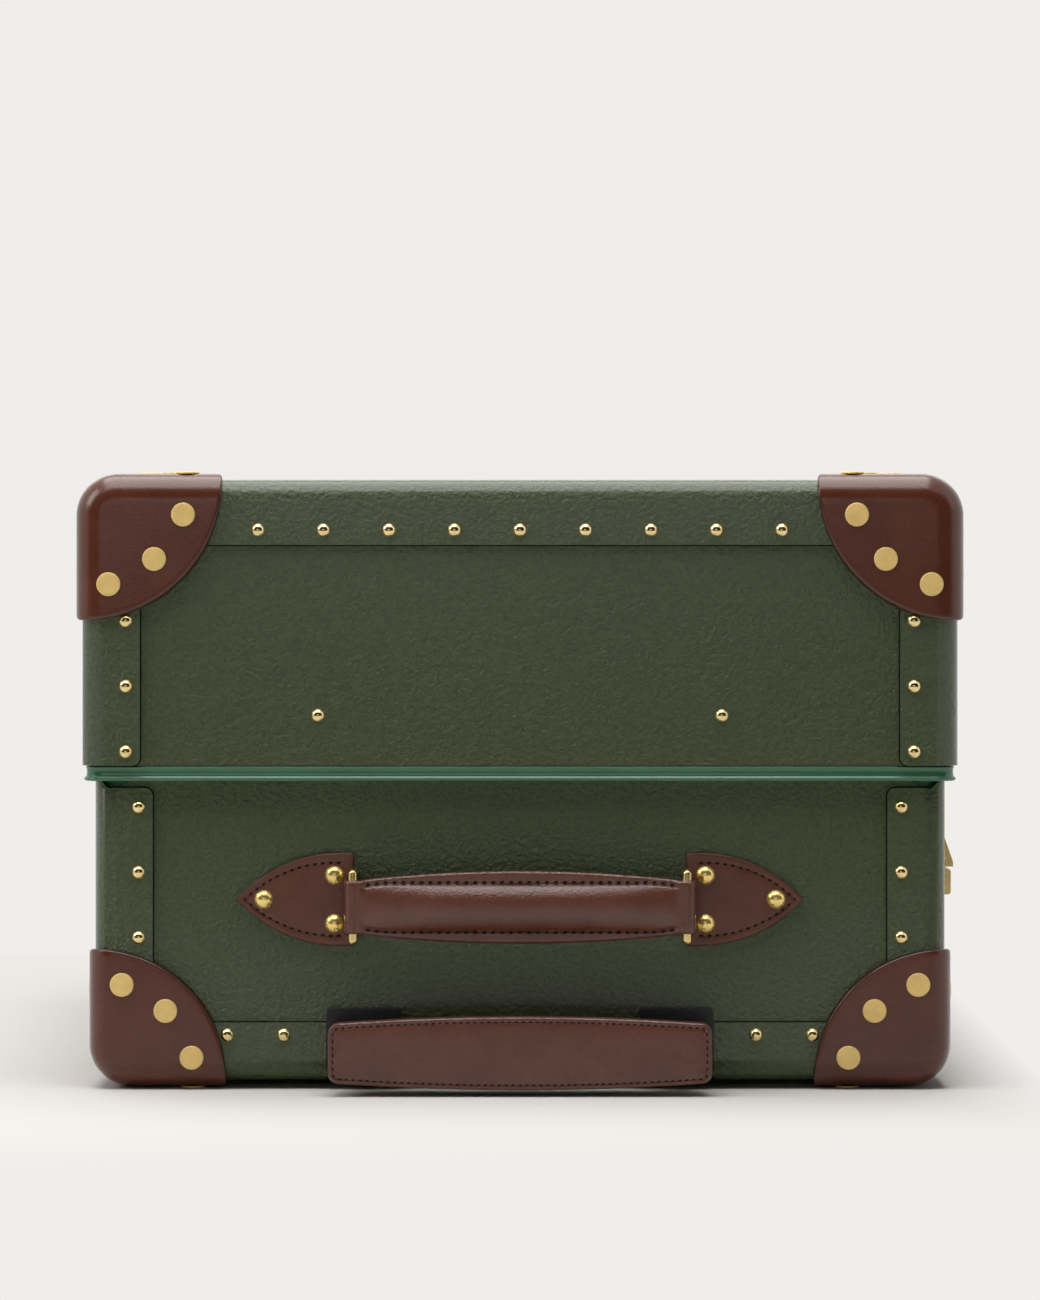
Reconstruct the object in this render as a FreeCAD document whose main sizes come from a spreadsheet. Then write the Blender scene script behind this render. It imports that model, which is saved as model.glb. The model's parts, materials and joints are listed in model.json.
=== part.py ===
import FreeCAD, Part
import math
import operator
import os
from types import SimpleNamespace

import Sketcher
from FreeCAD import Placement, Rotation, Vector

# A spinner suitcase of folded fibreboard with leather corners, lying on its back panel.
# +X is the latch side, -X the hinge side, -Y the handle end, +Y the wheel end, +Z up through the lid.
# The origin is the middle of the footprint, on the surface that the case rests on.

# Driving sizes in millimetres: name, value, what it measures
DRIVING = [
    ("lid_width", 434.4, "outside width of the lid"),
    ("lid_length", 580, "outside length of the lid, without the wheels"),
    ("lid_depth", 141.7, "height of the lid's walls"),
    ("base_depth", 148.9, "height of the base's walls"),
    ("lid_step", 6, "how far the lid stands outside the base, on every side"),
    ("mouth_gap", 0.4, "gap between the rim and the lid's edge"),
    ("board", 2, "thickness of the fibreboard"),
    ("long_edge_radius", 18, "outside radius along the long edges"),
    ("end_edge_radius", 11, "outside radius round both ends"),
    ("flange_width", 29.2, "width of the board turned over onto the ends"),
    ("lid_flange_height", 32.5, "height of the lid's top flange"),
    ("flange_drop", 3.4, "how far the base's side flanges stop below the mouth"),
    ("flange_corner", 4, "rounding of the flanges' free corners"),
    ("panel_margin", 0.5, "gap between an end panel and the rounded edges"),
    ("rim_height", 7.3, "height of the rim's visible band"),
    ("rim_inset", 2.6, "how far the band lies inside the lid's outside face"),
    ("lip_inset", 1.5, "how far the band's lower lip lies inside the lid's outside face"),
    ("lip_height", 2, "height of the band's lower lip"),
    ("rim_wall", 2, "wall of the rim's skirt and tongue and of the lid's frame"),
    ("skirt_height", 30, "how far the rim's skirt reaches down inside the base"),
    ("tongue_height", 12, "how far the rim's tongue reaches up into the lid"),
    ("rim_clearance", 1.2, "gap between the tongue and the lid's frame"),
    ("frame_height", 16, "height of the frame inside the lid's mouth"),
    ("lining", 1.2, "thickness of the lined card inside the walls"),
    ("lining_gap", 0.2, "gap behind the lining"),
    ("lining_rise", 2, "distance of the lid's lining above the rim's tongue"),
    ("floor_board", 2.5, "thickness of the board over the trolley tubes"),
    ("floor_rise", 29, "underside of the floor board above the back panel's outside"),
    ("floor_gap", 0.3, "gap round the floor board"),
    ("corner_leather", 3, "thickness of the leather corners"),
    ("corner_glue", 0.1, "glue line under the leather corners"),
    ("lid_corner_reach", 70, "radius of the lid's leather corners"),
    ("base_corner_reach", 65.7, "radius of the base's leather corners"),
    ("disc_radius", 5.9, "radius of the corners' flat rivets at the leather"),
    ("disc_edge", 0.4, "how much narrower a flat rivet is at its face"),
    ("disc_height", 1, "height of a flat rivet above the leather"),
    ("lid_disc_ring", 53.7, "distance of the lid's flat rivets from the corner"),
    ("base_disc_ring", 50.1, "distance of the base's flat rivets from the corner"),
    ("stud_radius", 3.3, "radius of the small domed rivets"),
    ("stud_pitch", 32.4, "distance between the small rivets of a row"),
    ("side_row_inset", 22.2, "distance of a side row from the side wall's outside"),
    ("lid_row_drop", 25.1, "distance of the lid's top row below the lid's top"),
    ("lid_side_row", 6.9, "height of the lowest side rivet above the lid's edge"),
    ("base_row_rise", 23, "height of the base's bottom row above the back panel's outside"),
    ("base_row_margin", 0.5, "distance of the bottom row's last rivet inside the leather's reach"),
    ("base_row_step", 28, "distance between the last two rivets of the bottom row"),
    ("base_side_row", 12.9, "distance of the highest side rivet below the base's top"),
    ("face_stud_x", 100, "distance of the two rivets on the lid's end panel from the middle"),
    ("face_stud_rise", 24.8, "height of those rivets above the lid's edge"),
    ("handle_rise", 90.3, "height of the carry handle's tabs above the back panel's outside"),
    ("chape_edge", 82.4, "distance of a tab's straight edge from the middle"),
    ("chape_tip", 140.4, "distance of a tab's point from the middle"),
    ("chape_half", 23.2, "half the height of a tab"),
    ("chape_flat", 6.5, "level stretch of a tab beside its straight edge"),
    ("chape_leather", 3, "thickness of a tab"),
    ("chape_fold", 20, "length of a tab's fold round its ring"),
    ("chape_stud_radius", 4.7, "radius of the tabs' domed rivets"),
    ("chape_stud_x", 9.5, "distance of the paired rivets from the straight edge"),
    ("chape_stud_z", 12, "distance of the paired rivets from the tab's middle line"),
    ("chape_stud_tip", 13.5, "distance of the single rivet from the point"),
    ("wire", 2.25, "radius of the rings' wire"),
    ("wire_slip", 0.1, "clearance of the wire in its folds"),
    ("fold_wall", 1.85, "leather round the wire"),
    ("ring_reach", 13, "distance between a ring's two bars"),
    ("ring_half", 16.25, "half the height of a ring, to the middle of the wire"),
    ("handle_drop", 3, "how far the rings and the grip hang below the tabs' middle line"),
    ("grip_fold", 27, "height of the grip's folded ends"),
    ("grip_neck", 3.8, "distance between the padded roll's end and the ring's wire"),
    ("grip_end", 27.2, "height of the roll at its ends"),
    ("grip_middle", 36, "height of the roll in the middle"),
    ("grip_thin", 6.4, "thickness of the roll at its ends"),
    ("grip_thick", 16, "thickness of the roll in the middle"),
    ("grip_edge", 6, "rounding along the roll"),
    ("trolley_rise", 17.2, "height of the trolley tubes above the back panel's outside"),
    ("tube_spread", 77.35, "distance of a trolley tube from the middle"),
    ("tube_width", 25, "width of an outer tube"),
    ("tube_height", 18, "height of an outer tube"),
    ("tube_wall", 1.2, "wall of the tubes"),
    ("tube_slip", 0.3, "gap between two sliding tubes"),
    ("tube_corner", 2, "corner radius of the tubes and the lock plugs"),
    ("tube_tail", 40, "free length between an outer tube and the wheel end's panel"),
    ("tube_step_back", 20, "how much shorter the sliding tubes are than the outer ones"),
    ("middle_proud", 1, "how far a middle tube stands out of its bezel"),
    ("bezel_half", 18.35, "half the width of a bezel"),
    ("bezel_top", 36.4, "top of a bezel above the back panel's outside"),
    ("bezel_bottom", 5, "bottom of a bezel above the back panel's outside"),
    ("bezel_proud", 3, "how far a bezel stands out of the end"),
    ("bezel_gap", 0.3, "gap round a bezel"),
    ("bezel_corner", 2, "corner radius of a bezel"),
    ("foot_length", 36, "length of the blocks that hold the tubes' far ends"),
    ("foot_margin", 6, "wall of those blocks beside and past the tube"),
    ("trolley_grip_half", 94, "half the length of the trolley grip"),
    ("trolley_grip_end", 29, "height of the trolley grip at its ends"),
    ("trolley_grip_middle", 36, "height of the trolley grip in the middle"),
    ("trolley_grip_depth", 24, "thickness of the trolley grip"),
    ("trolley_grip_proud", 40, "how far the trolley grip stands out of the base's end"),
    ("trolley_grip_edge", 5, "rounding of the trolley grip"),
    ("cover_leather", 3.5, "leather over the ends and the front of the grip's core"),
    ("core_half", 10.5, "half the height of the grip's core"),
    ("core_slip", 0.2, "gap between the core and its leather"),
    ("tube_seat", 8, "how far the inner tubes reach into the core"),
    ("trigger_half", 42, "half the length of the trigger's finger bar"),
    ("trigger_thick", 9, "height of the trigger"),
    ("trigger_proud", 1.5, "how far the finger bar stands out of the grip's underside"),
    ("yoke", 3.6, "thickness of the bar that joins the trigger to its rods"),
    ("yoke_margin", 2, "how far that bar reaches past the rods"),
    ("trigger_travel", 4, "how far the trigger can be squeezed"),
    ("trigger_slip", 0.35, "clearance round the trigger"),
    ("rod_radius", 2, "radius of the push rods"),
    ("plug_length", 26, "length of the lock plugs in the inner tubes' ends"),
    ("lock_pin", 2.5, "radius of the lock pins"),
    ("pin_length", 6, "length of a lock pin"),
    ("pin_travel", 2.5, "how far a lock pin draws back"),
    ("pin_slip", 0.08, "clearance of a lock pin in its bore"),
    ("hinge_gap", 0.6, "gap between the hinge knuckles and the lid's side wall"),
    ("knuckle", 3.7, "radius of the hinge knuckles"),
    ("hinge_pin", 1.6, "radius of the hinge pins"),
    ("pin_fit", 0.05, "clearance of a pin in a turning knuckle"),
    ("hinge_length", 60, "length of a hinge"),
    ("hinge_pitch", 125, "distance between two hinges"),
    ("leaf", 1.8, "thickness of a hinge leaf"),
    ("leaf_height", 36, "height of a hinge leaf on the wall"),
    ("knuckle_gap", 0.4, "gap between two knuckles"),
    ("arm_drop", 11, "how far below the hinge line the base leaves step out"),
    ("latch_inset", 145, "distance of a latch from the lid's end"),
    ("latch_half", 13, "half the width of a latch"),
    ("latch_plate", 1.8, "thickness of a latch's back plate"),
    ("latch_drop", 17.8, "top of a latch's plate below the base's top"),
    ("latch_height", 47, "height of a latch's plate"),
    ("block_drop", 50.4, "top of a latch's block below the base's top"),
    ("block_height", 13.4, "height of a latch's block"),
    ("block_proud", 12.6, "how far a latch's block stands out of the base's wall"),
    ("block_floor", 3, "solid part under the slot of a latch's block"),
    ("slot_half", 3.2, "half the width of the slot for the hasp's tongue"),
    ("tongue_slip", 0.4, "gap beside the hasp's tongue"),
    ("bolt", 1.6, "radius of a latch's bolt"),
    ("bolt_fit", 0.06, "clearance of a bolt in its bore"),
    ("bolt_travel", 7, "travel of a bolt"),
    ("bolt_head", 3.6, "radius of a bolt's thumb head"),
    ("bolt_head_length", 3.5, "length of a bolt's thumb head"),
    ("hasp_line", 6.6, "height of the hasps' hinge line above the lid's edge"),
    ("hasp_knuckle", 2.7, "radius of the hasps' knuckles"),
    ("hasp_pin", 1.2, "radius of the hasps' pins"),
    ("hasp_plate", 1.2, "thickness of the plate that carries a hasp"),
    ("hasp_plate_height", 26, "height of that plate"),
    ("hasp_thick", 2, "thickness of a hasp"),
    ("hasp_gap", 0.4, "gap behind a hasp"),
    ("flap_height", 15, "height of a hasp's finger flap"),
    ("flap_lip", 2.5, "height of the straight lower edge of a hasp's flap"),
    ("flap_gap", 1, "gap between a hasp's flap and the block below it"),
    ("tongue_thick", 4.6, "thickness of a hasp's tongue"),
    ("tongue_tip", 4, "height of the tongue's tip above the block's underside"),
    ("strap_width", 25, "width of the packing straps"),
    ("strap_thick", 1.8, "thickness of the packing straps"),
    ("strap_gap", 8.6, "distance of the straps' ends from the lining"),
    ("strap_pitch", 240, "distance between the packing straps"),
    ("buckle_half", 19, "half the length of a buckle's frame"),
    ("buckle_side", 5, "how far a buckle's frame stands outside the strap"),
    ("buckle_bar", 4, "width of the bars of a buckle's frame"),
    ("buckle_thick", 3, "thickness of a buckle"),
    ("prong_half", 1.3, "half the width of a buckle's prong"),
    ("caster_inset", 105.2, "distance of a caster from the lid's side wall"),
    ("mount_half", 27, "half the width of a caster's mount"),
    ("mount_margin", 3, "gap between a caster's mount and the flange beside it"),
    ("mount_corner", 9, "corner radius of a caster's mount"),
    ("mount_plate", 4, "how far a mount's plate stands out of the lid's end"),
    ("boss_height", 5, "height of a mount's boss"),
    ("boss_radius", 15, "radius of a mount's boss"),
    ("kingpin", 5, "radius of a caster's kingpin"),
    ("kingpin_depth", 10, "depth of the kingpin's bore"),
    ("kingpin_fit", 0.06, "clearance of a kingpin in its bore"),
    ("fork_gap", 0.5, "gap between a mount's boss and its fork"),
    ("crown_height", 4, "thickness of a fork's crown"),
    ("crown_radius", 17, "radius of a fork's crown"),
    ("wheel_radius", 22.5, "radius of the wheels"),
    ("wheel_clearance", 1.5, "gap between a fork's crown and the wheels"),
    ("wheel_width", 11, "width of a wheel"),
    ("wheel_shoulder", 3.5, "rounding of a wheel's tread"),
    ("wheel_recess", 2.5, "depth of the dish in a wheel's outer side"),
    ("wheel_dish", 15, "radius of that dish"),
    ("trail", 18, "distance of the axle from the kingpin's line"),
    ("leg_half", 5, "half the thickness of a fork's leg"),
    ("leg_inset", 2, "how much nearer the kingpin's line a leg starts than its crown's edge"),
    ("leg_gap", 0.5, "gap between a fork's leg and its wheels"),
    ("hub_radius", 8, "radius of the leg's end round the axle"),
    ("axle", 3, "radius of the axles"),
    ("axle_fit", 0.06, "clearance of a wheel on its axle"),
]

# Angles, from the line along the end, at which the flat rivets stand round a corner
LID_END_ANGLES = (19, 47.2, 75)
BASE_END_ANGLES = (13.9, 44.6, 73.7)
SIDE_ANGLES = (29, 45, 61)
FACE_ANGLES = (14, 34, 54)

TINY = 1e-3
# How far a cutting tool reaches past the face that it cuts, or one piece into the piece it joins
PAST = 1
# Gap that keeps the grip's rounded outline and its bulge from touching along one line
ROLL_CLEAR = 0.00001
SIGNS = (-1, 1)
OPERATIONS = {"+": operator.add, "-": operator.sub, "*": operator.mul, "/": operator.truediv}
TURNS = {
    "+x": Rotation(Vector(0, 1, 0), 90),
    "-x": Rotation(Vector(0, 1, 0), -90),
    "+y": Rotation(Vector(1, 0, 0), -90),
    "-y": Rotation(Vector(1, 0, 0), 90),
    "+z": Rotation(),
    "-z": Rotation(Vector(1, 0, 0), 180),
}

doc = FreeCAD.newDocument("SpinnerSuitcase")
finished = []


# Sizes that know both their number and their formula over the sheet

class Size:
    def __init__(self, number, formula):
        self.number = number
        self.formula = formula

    def __add__(self, other):
        return combine(self, "+", other)

    def __radd__(self, other):
        return combine(other, "+", self)

    def __sub__(self, other):
        return combine(self, "-", other)

    def __rsub__(self, other):
        return combine(other, "-", self)

    def __mul__(self, other):
        return combine(self, "*", other)

    def __rmul__(self, other):
        return combine(other, "*", self)

    def __truediv__(self, other):
        return combine(self, "/", other)

    def __neg__(self):
        return combine(0, "-", self)


def size_of(value):
    return value if isinstance(value, Size) else Size(float(value), f"({float(value)!r})")


def combine(first, sign, second):
    first, second = size_of(first), size_of(second)
    number = OPERATIONS[sign](first.number, second.number)
    return Size(number, f"({first.formula} {sign} {second.formula})")


def make_sheet():
    sheet = doc.addObject("Spreadsheet::Sheet", "sizes")
    for row, (alias, value, note) in enumerate(DRIVING, start=1):
        sheet.set(f"A{row}", alias)
        sheet.set(f"B{row}", str(value))
        sheet.set(f"C{row}", note)
        sheet.setAlias(f"B{row}", alias)
    doc.recompute()
    return SimpleNamespace(**{alias: Size(value, f"sizes.{alias}") for alias, value, note in DRIVING})


# Primitives and booleans, bound to the sheet

def bind(thing, prop, value):
    thing.setExpression(prop, size_of(value).formula)


def place(thing, point, turn="+z"):
    thing.Placement = Placement(Vector(), TURNS[turn])
    for axis, value in zip("xyz", point):
        bind(thing, f"Placement.Base.{axis}", value)


def span(middle, half):
    return middle - half, middle + half


def centred(half):
    return -half, half


def ordered(*ends):
    return sorted(ends, key=lambda end: end.number)


def mirrored(sign, low, high):
    return (low, high) if sign > 0 else (-high, -low)


def box(name, x, y, z):
    block = doc.addObject("Part::Box", name)
    for prop, (low, high) in zip(("Length", "Width", "Height"), (x, y, z)):
        bind(block, prop, high - low)
    place(block, (x[0], y[0], z[0]))
    return block


def cylinder(name, direction, start, radius, length):
    rod = doc.addObject("Part::Cylinder", name)
    bind(rod, "Radius", radius)
    bind(rod, "Height", length)
    place(rod, start, direction)
    return rod


def ball(name, point, radius):
    sphere = doc.addObject("Part::Sphere", name)
    bind(sphere, "Radius", radius)
    place(sphere, point)
    return sphere


def stud(name, point, normal, radius):
    dome = ball(name, point, radius)
    dome.Angle1 = 0
    place(dome, point, normal)
    return dome


def disc(name, point, normal):
    head = doc.addObject("Part::Cone", name)
    bind(head, "Radius1", S.disc_radius)
    bind(head, "Radius2", S.disc_radius - S.disc_edge)
    bind(head, "Height", S.disc_height)
    place(head, point, normal)
    return head


def cut(name, base, *tools):
    for index, tool in enumerate(tools, start=1):
        result = doc.addObject("Part::Cut", name if index == len(tools) else f"{name}_cut_{index}")
        result.Base = base
        result.Tool = tool
        base = result
    return base


def fuse(name, *pieces):
    result = doc.addObject("Part::MultiFuse", name)
    result.Shapes = list(pieces)
    return result


def common(name, *pieces):
    result = doc.addObject("Part::MultiCommon", name)
    result.Shapes = list(pieces)
    return result


def group(name, pieces):
    result = doc.addObject("Part::Compound", name)
    result.Links = list(pieces)
    return result


def finish(piece):
    finished.append(piece)
    return piece


# Bodies with rounded edges and bodies drawn as outlines

def edge_names(feature, test):
    edges = enumerate(feature.Shape.Edges, start=1)
    return [f"Edge{index}" for index, edge in edges if test(edge.BoundBox)]


def on_plane(bounds, axis, value):
    ends = (getattr(bounds, axis + "Min"), getattr(bounds, axis + "Max"))
    return all(abs(end - size_of(value).number) < TINY for end in ends)


def runs_along(bounds, axis):
    others = [getattr(bounds, other + "Length") for other in "XYZ" if other != axis]
    return max(others) < TINY


def round_edges(body, feature, edges, radius):
    fillet = body.newObject("PartDesign::Fillet", f"{body.Name}_round")
    fillet.Base = (feature, edges)
    bind(fillet, "Radius", radius)
    body.Tip = fillet
    doc.recompute()
    return fillet


def block_body(name, x, y, z):
    body = doc.addObject("PartDesign::Body", name)
    block = body.newObject("PartDesign::AdditiveBox", f"{name}_block")
    for prop, (low, high) in zip(("Length", "Width", "Height"), (x, y, z)):
        bind(block, prop, high - low)
    place(block, (x[0], y[0], z[0]))
    doc.recompute()
    return body, block


def rounded_bar(name, x, y, z, axis, radius):
    body, block = block_body(name, x, y, z)
    round_edges(body, block, edge_names(block, lambda bounds: runs_along(bounds, axis)), radius)
    return body


def tray(name, half, y, z, long_radius, end_radius, closed):
    body, block = block_body(name, (-half, half), y, z)
    closed_z, open_z = (z[0], z[1]) if closed == "low" else (z[1], z[0])

    def is_long(bounds):
        return on_plane(bounds, "Z", closed_z) and runs_along(bounds, "Y")

    def is_end(bounds):
        return any(on_plane(bounds, "Y", end) for end in y) and not on_plane(bounds, "Z", open_z)

    rounded = round_edges(body, block, edge_names(block, is_long), long_radius)
    round_edges(body, rounded, edge_names(rounded, is_end), end_radius)
    return body


def plan_block(name, plan, z, radius):
    half, y_low, y_high = plan
    return rounded_bar(name, (-half, half), (y_low, y_high), z, "Z", radius)


def plan_ring(name, outer, inner, z, radius, inner_radius):
    hole = plan_block(f"{name}_hole", inner, (z[0] - PAST, z[1] + PAST), inner_radius)
    return cut(name, plan_block(f"{name}_block", outer, z, radius), hole)


def inset(plan, across, along):
    half, y_low, y_high = plan
    return half - across, y_low + along, y_high - along


def arc_between(start, end, radius):
    chord = end - start
    half = chord.Length / 2
    left = Vector(-chord.y, chord.x, 0).normalize()
    rise = math.sqrt(radius * radius - half * half)
    turns_left = radius > 0
    centre = (start + end) * 0.5 + left * (rise if turns_left else -rise)
    first, last = (start, end) if turns_left else (end, start)
    angles = [math.atan2(point.y - centre.y, point.x - centre.x) for point in (first, last)]
    circle = Part.Circle(centre, Vector(0, 0, 1), abs(radius))
    return Part.ArcOfCircle(circle, angles[0], angles[1]), (1, 2) if turns_left else (2, 1)


# An outline lists its corners in turn; a third value is the radius of the arc that leads to that corner,
# positive where the arc turns left
def draw_outline(sketch, corners):
    points = [Vector(size_of(corner[0]).number, size_of(corner[1]).number, 0) for corner in corners]
    ends = []
    for index, corner in enumerate(corners):
        start, end = points[index - 1], points[index]
        if len(corner) == 3:
            segment, order = arc_between(start, end, size_of(corner[2]).number)
        else:
            segment, order = Part.LineSegment(start, end), (1, 2)
        ends.append((sketch.addGeometry(segment, False), order))
    for index, corner in enumerate(corners):
        segment, order = ends[index]
        following, next_order = ends[(index + 1) % len(ends)]
        sketch.addConstraint(Sketcher.Constraint("Coincident", segment, order[1], following, next_order[0]))
        for kind, value in zip(("DistanceX", "DistanceY"), corner):
            number = size_of(value).number
            place_of = sketch.addConstraint(Sketcher.Constraint(kind, segment, order[1], number))
            bind(sketch, f"Constraints[{place_of}]", value)
        if len(corner) == 3:
            radius = Sketcher.Constraint("Radius", segment, abs(size_of(corner[2]).number))
            radius_at = sketch.addConstraint(radius)
            turns_left = size_of(corner[2]).number > 0
            bind(sketch, f"Constraints[{radius_at}]", corner[2] if turns_left else -corner[2])


def outline_body(name, plane, depth, corners):
    body = doc.addObject("PartDesign::Body", name)
    sketch = body.newObject("Sketcher::SketchObject", f"{name}_outline")
    origin_plane = next(item for item in body.Origin.OriginFeatures if item.Role == f"{plane}_Plane")
    sketch.AttachmentSupport = [(origin_plane, "")]
    sketch.MapMode = "FlatFace"
    bind(sketch, "AttachmentOffset.Base.z", -depth[1] if plane == "XZ" else depth[0])
    draw_outline(sketch, corners)
    pad = body.newObject("PartDesign::Pad", f"{name}_pad")
    pad.Profile = sketch
    bind(pad, "Length", depth[1] - depth[0])
    body.Tip = pad
    doc.recompute()
    return body, pad


def sag_radius(half_chord, sag):
    return (half_chord * half_chord + sag * sag) / (2 * sag)


def crowned_corners(half, end_half, middle_half, level):
    arc = sag_radius(half, middle_half - end_half)
    low, high = level - end_half, level + end_half
    return [(-half, low), (half, low, arc), (half, high), (-half, high, arc)]


# Places that several pieces share

S = make_sheet()
lid_half = S.lid_width / 2
base_half = lid_half - S.lid_step
back = S.corner_leather + S.disc_height
base_top = back + S.base_depth
rim_top = base_top + S.rim_height
lid_low = rim_top + S.mouth_gap
lid_top = lid_low + S.lid_depth
crown_rise = S.mount_plate + S.boss_height + S.fork_gap + S.crown_height
caster_height = crown_rise + S.wheel_clearance + 2 * S.wheel_radius
lid_front = (S.trolley_grip_proud - S.lid_step - S.lid_length - caster_height) / 2
lid_back = lid_front + S.lid_length
base_front = lid_front + S.lid_step
base_back = lid_back - S.lid_step
panel_front = base_front + S.board
lid_plan = (lid_half, lid_front, lid_back)
base_plan = (base_half, base_front, base_back)
skirt_plan = inset(base_plan, S.board, 2 * S.board)
frame_plan = inset(lid_plan, S.board, 2 * S.board)
frame_hole = inset(frame_plan, S.rim_wall, S.rim_wall)
tongue_plan = inset(frame_hole, S.rim_clearance, S.rim_clearance)
inner_corner = S.end_edge_radius - S.board
shell_radii = S.long_edge_radius, S.end_edge_radius
inner_radii = S.long_edge_radius - S.board, inner_corner
tongue_corner = inner_corner - S.rim_wall - S.rim_clearance
tongue_top = rim_top + S.tongue_height
floor_low = back + S.floor_rise
floor_top = floor_low + S.floor_board
trolley_z = back + S.trolley_rise
hinge_reach = lid_half + S.hinge_gap + S.knuckle
hardware_x = hinge_reach + S.knuckle
ENDS = {"handle": ("-y", lid_front, base_front, 1), "wheel": ("+y", lid_back, base_back, -1)}
inner_face = {end: (lid + way * S.board, base + way * S.board) for end, (_, lid, base, way) in ENDS.items()}


# The two folded shells and their end panels

def lid_window(end):
    way = ENDS[end][3]
    depth = ordered(ENDS[end][1] - way * PAST, ENDS[end][1] + way * S.end_edge_radius)
    side, high = lid_half - S.flange_width, lid_top - S.lid_flange_height
    low, corner = lid_low, S.flange_corner
    corners = [
        (-side - corner, low - PAST),
        (side + corner, low - PAST),
        (side + corner, low),
        (side, low + corner, -corner),
        (side, high),
        (-side, high),
        (-side, low + corner),
        (-side - corner, low, -corner),
    ]
    return outline_body(f"lid_{end}_window", "XZ", depth, corners)[0]


def base_window(end):
    way = ENDS[end][3]
    depth = ordered(ENDS[end][2] - way * PAST, ENDS[end][2] + way * S.end_edge_radius)
    side, low = base_half - S.flange_width, back + S.flange_width
    flange_top, corner = base_top - S.flange_drop, S.flange_corner
    outer = base_half - 2 * S.board
    corners = [
        (-side, low),
        (side, low),
        (side, flange_top - corner),
        (side + corner, flange_top, -corner),
        (outer - S.flange_drop, flange_top),
        (outer, base_top),
        (outer, base_top + PAST),
        (-outer, base_top + PAST),
        (-outer, base_top),
        (S.flange_drop - outer, flange_top),
        (-side - corner, flange_top),
        (-side, flange_top - corner, -corner),
    ]
    return outline_body(f"base_{end}_window", "XZ", depth, corners)[0]


def bezel_space(sign):
    x = span(sign * S.tube_spread, S.bezel_half + S.bezel_gap)
    y = (base_front - PAST, base_front + S.end_edge_radius)
    z = (back + S.bezel_bottom - S.bezel_gap, back + S.bezel_top + S.bezel_gap)
    return box(f"bezel_space_{sign}", x, y, z)


def tube_space(name, sign, y, gap):
    width, height = S.tube_width / 2 + gap, S.tube_height / 2 + gap
    return box(name, span(sign * S.tube_spread, width), y, span(trolley_z, height))


def hollow(half, y, wall):
    return half - wall, (y[0] + wall, y[1] - wall)


def make_base_shell():
    outer = tray("base_outside", base_half, base_plan[1:], (back, base_top), *shell_radii, "low")
    half, y = hollow(base_half, base_plan[1:], S.board)
    inner = tray("base_inside", half, y, (back + S.board, base_top + PAST), *inner_radii, "low")
    spaces = [bezel_space(sign) for sign in SIGNS]
    finish(cut("base_shell", outer, inner, base_window("handle"), base_window("wheel"), *spaces))


def make_lid_shell():
    outer = tray("lid_outside", lid_half, lid_plan[1:], (lid_low, lid_top), *shell_radii, "high")
    half, y = hollow(lid_half, lid_plan[1:], S.board)
    inner = tray("lid_inside", half, y, (lid_low - PAST, lid_top - S.board), *inner_radii, "high")
    finish(cut("lid_shell", outer, inner, lid_window("handle"), lid_window("wheel")))


def make_end_panels():
    margin = S.end_edge_radius + S.panel_margin
    corner = S.long_edge_radius - S.end_edge_radius
    for end, (_, lid_end, base_end, way) in ENDS.items():
        lid_y = ordered(lid_end + way * S.board, lid_end + 2 * way * S.board)
        base_y = ordered(base_end + way * S.board, base_end + 2 * way * S.board)
        lid_x, base_x = lid_half - margin, base_half - margin
        lid_z, base_z = (lid_low, lid_top - margin), (back + margin, base_top)
        finish(rounded_bar(f"lid_{end}_end_panel", centred(lid_x), lid_y, lid_z, "Y", corner))
        name = f"base_{end}_end_panel"
        board = rounded_bar(f"{name}_board", centred(base_x), base_y, base_z, "Y", corner)
        if end == "wheel":
            board.Label = name
            finish(board)
        else:
            cut_y = span(panel_front, 2 * S.board)
            spaces = [tube_space(f"{name}_space_{sign}", sign, cut_y, 0) for sign in SIGNS]
            finish(cut(name, board, *spaces))


# The rim between the halves, the lid's frame and the linings

def make_rim():
    hole = inset(skirt_plan, S.rim_wall, S.rim_wall)
    hole_corner = inner_corner - S.rim_wall
    skirt = plan_ring("rim_skirt", skirt_plan, hole, (base_top - S.skirt_height, base_top + PAST),
                      inner_corner, hole_corner)
    band = plan_ring("rim_band", inset(lid_plan, S.rim_inset, S.rim_inset), hole, (base_top, rim_top),
                     S.end_edge_radius - S.rim_inset, hole_corner)
    lip = plan_ring("rim_lip", inset(lid_plan, S.lip_inset, S.lip_inset), hole,
                    (base_top, base_top + S.lip_height), S.end_edge_radius - S.lip_inset, hole_corner)
    tongue = plan_ring("rim_tongue", tongue_plan, inset(tongue_plan, S.rim_wall, S.rim_wall),
                       (rim_top - PAST, tongue_top), tongue_corner, tongue_corner - S.rim_wall)
    finish(fuse("base_rim", skirt, band, lip, tongue))
    finish(plan_ring("lid_frame", frame_plan, frame_hole, (lid_low, lid_low + S.frame_height),
                     inner_corner, inner_corner - S.rim_wall))


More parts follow.
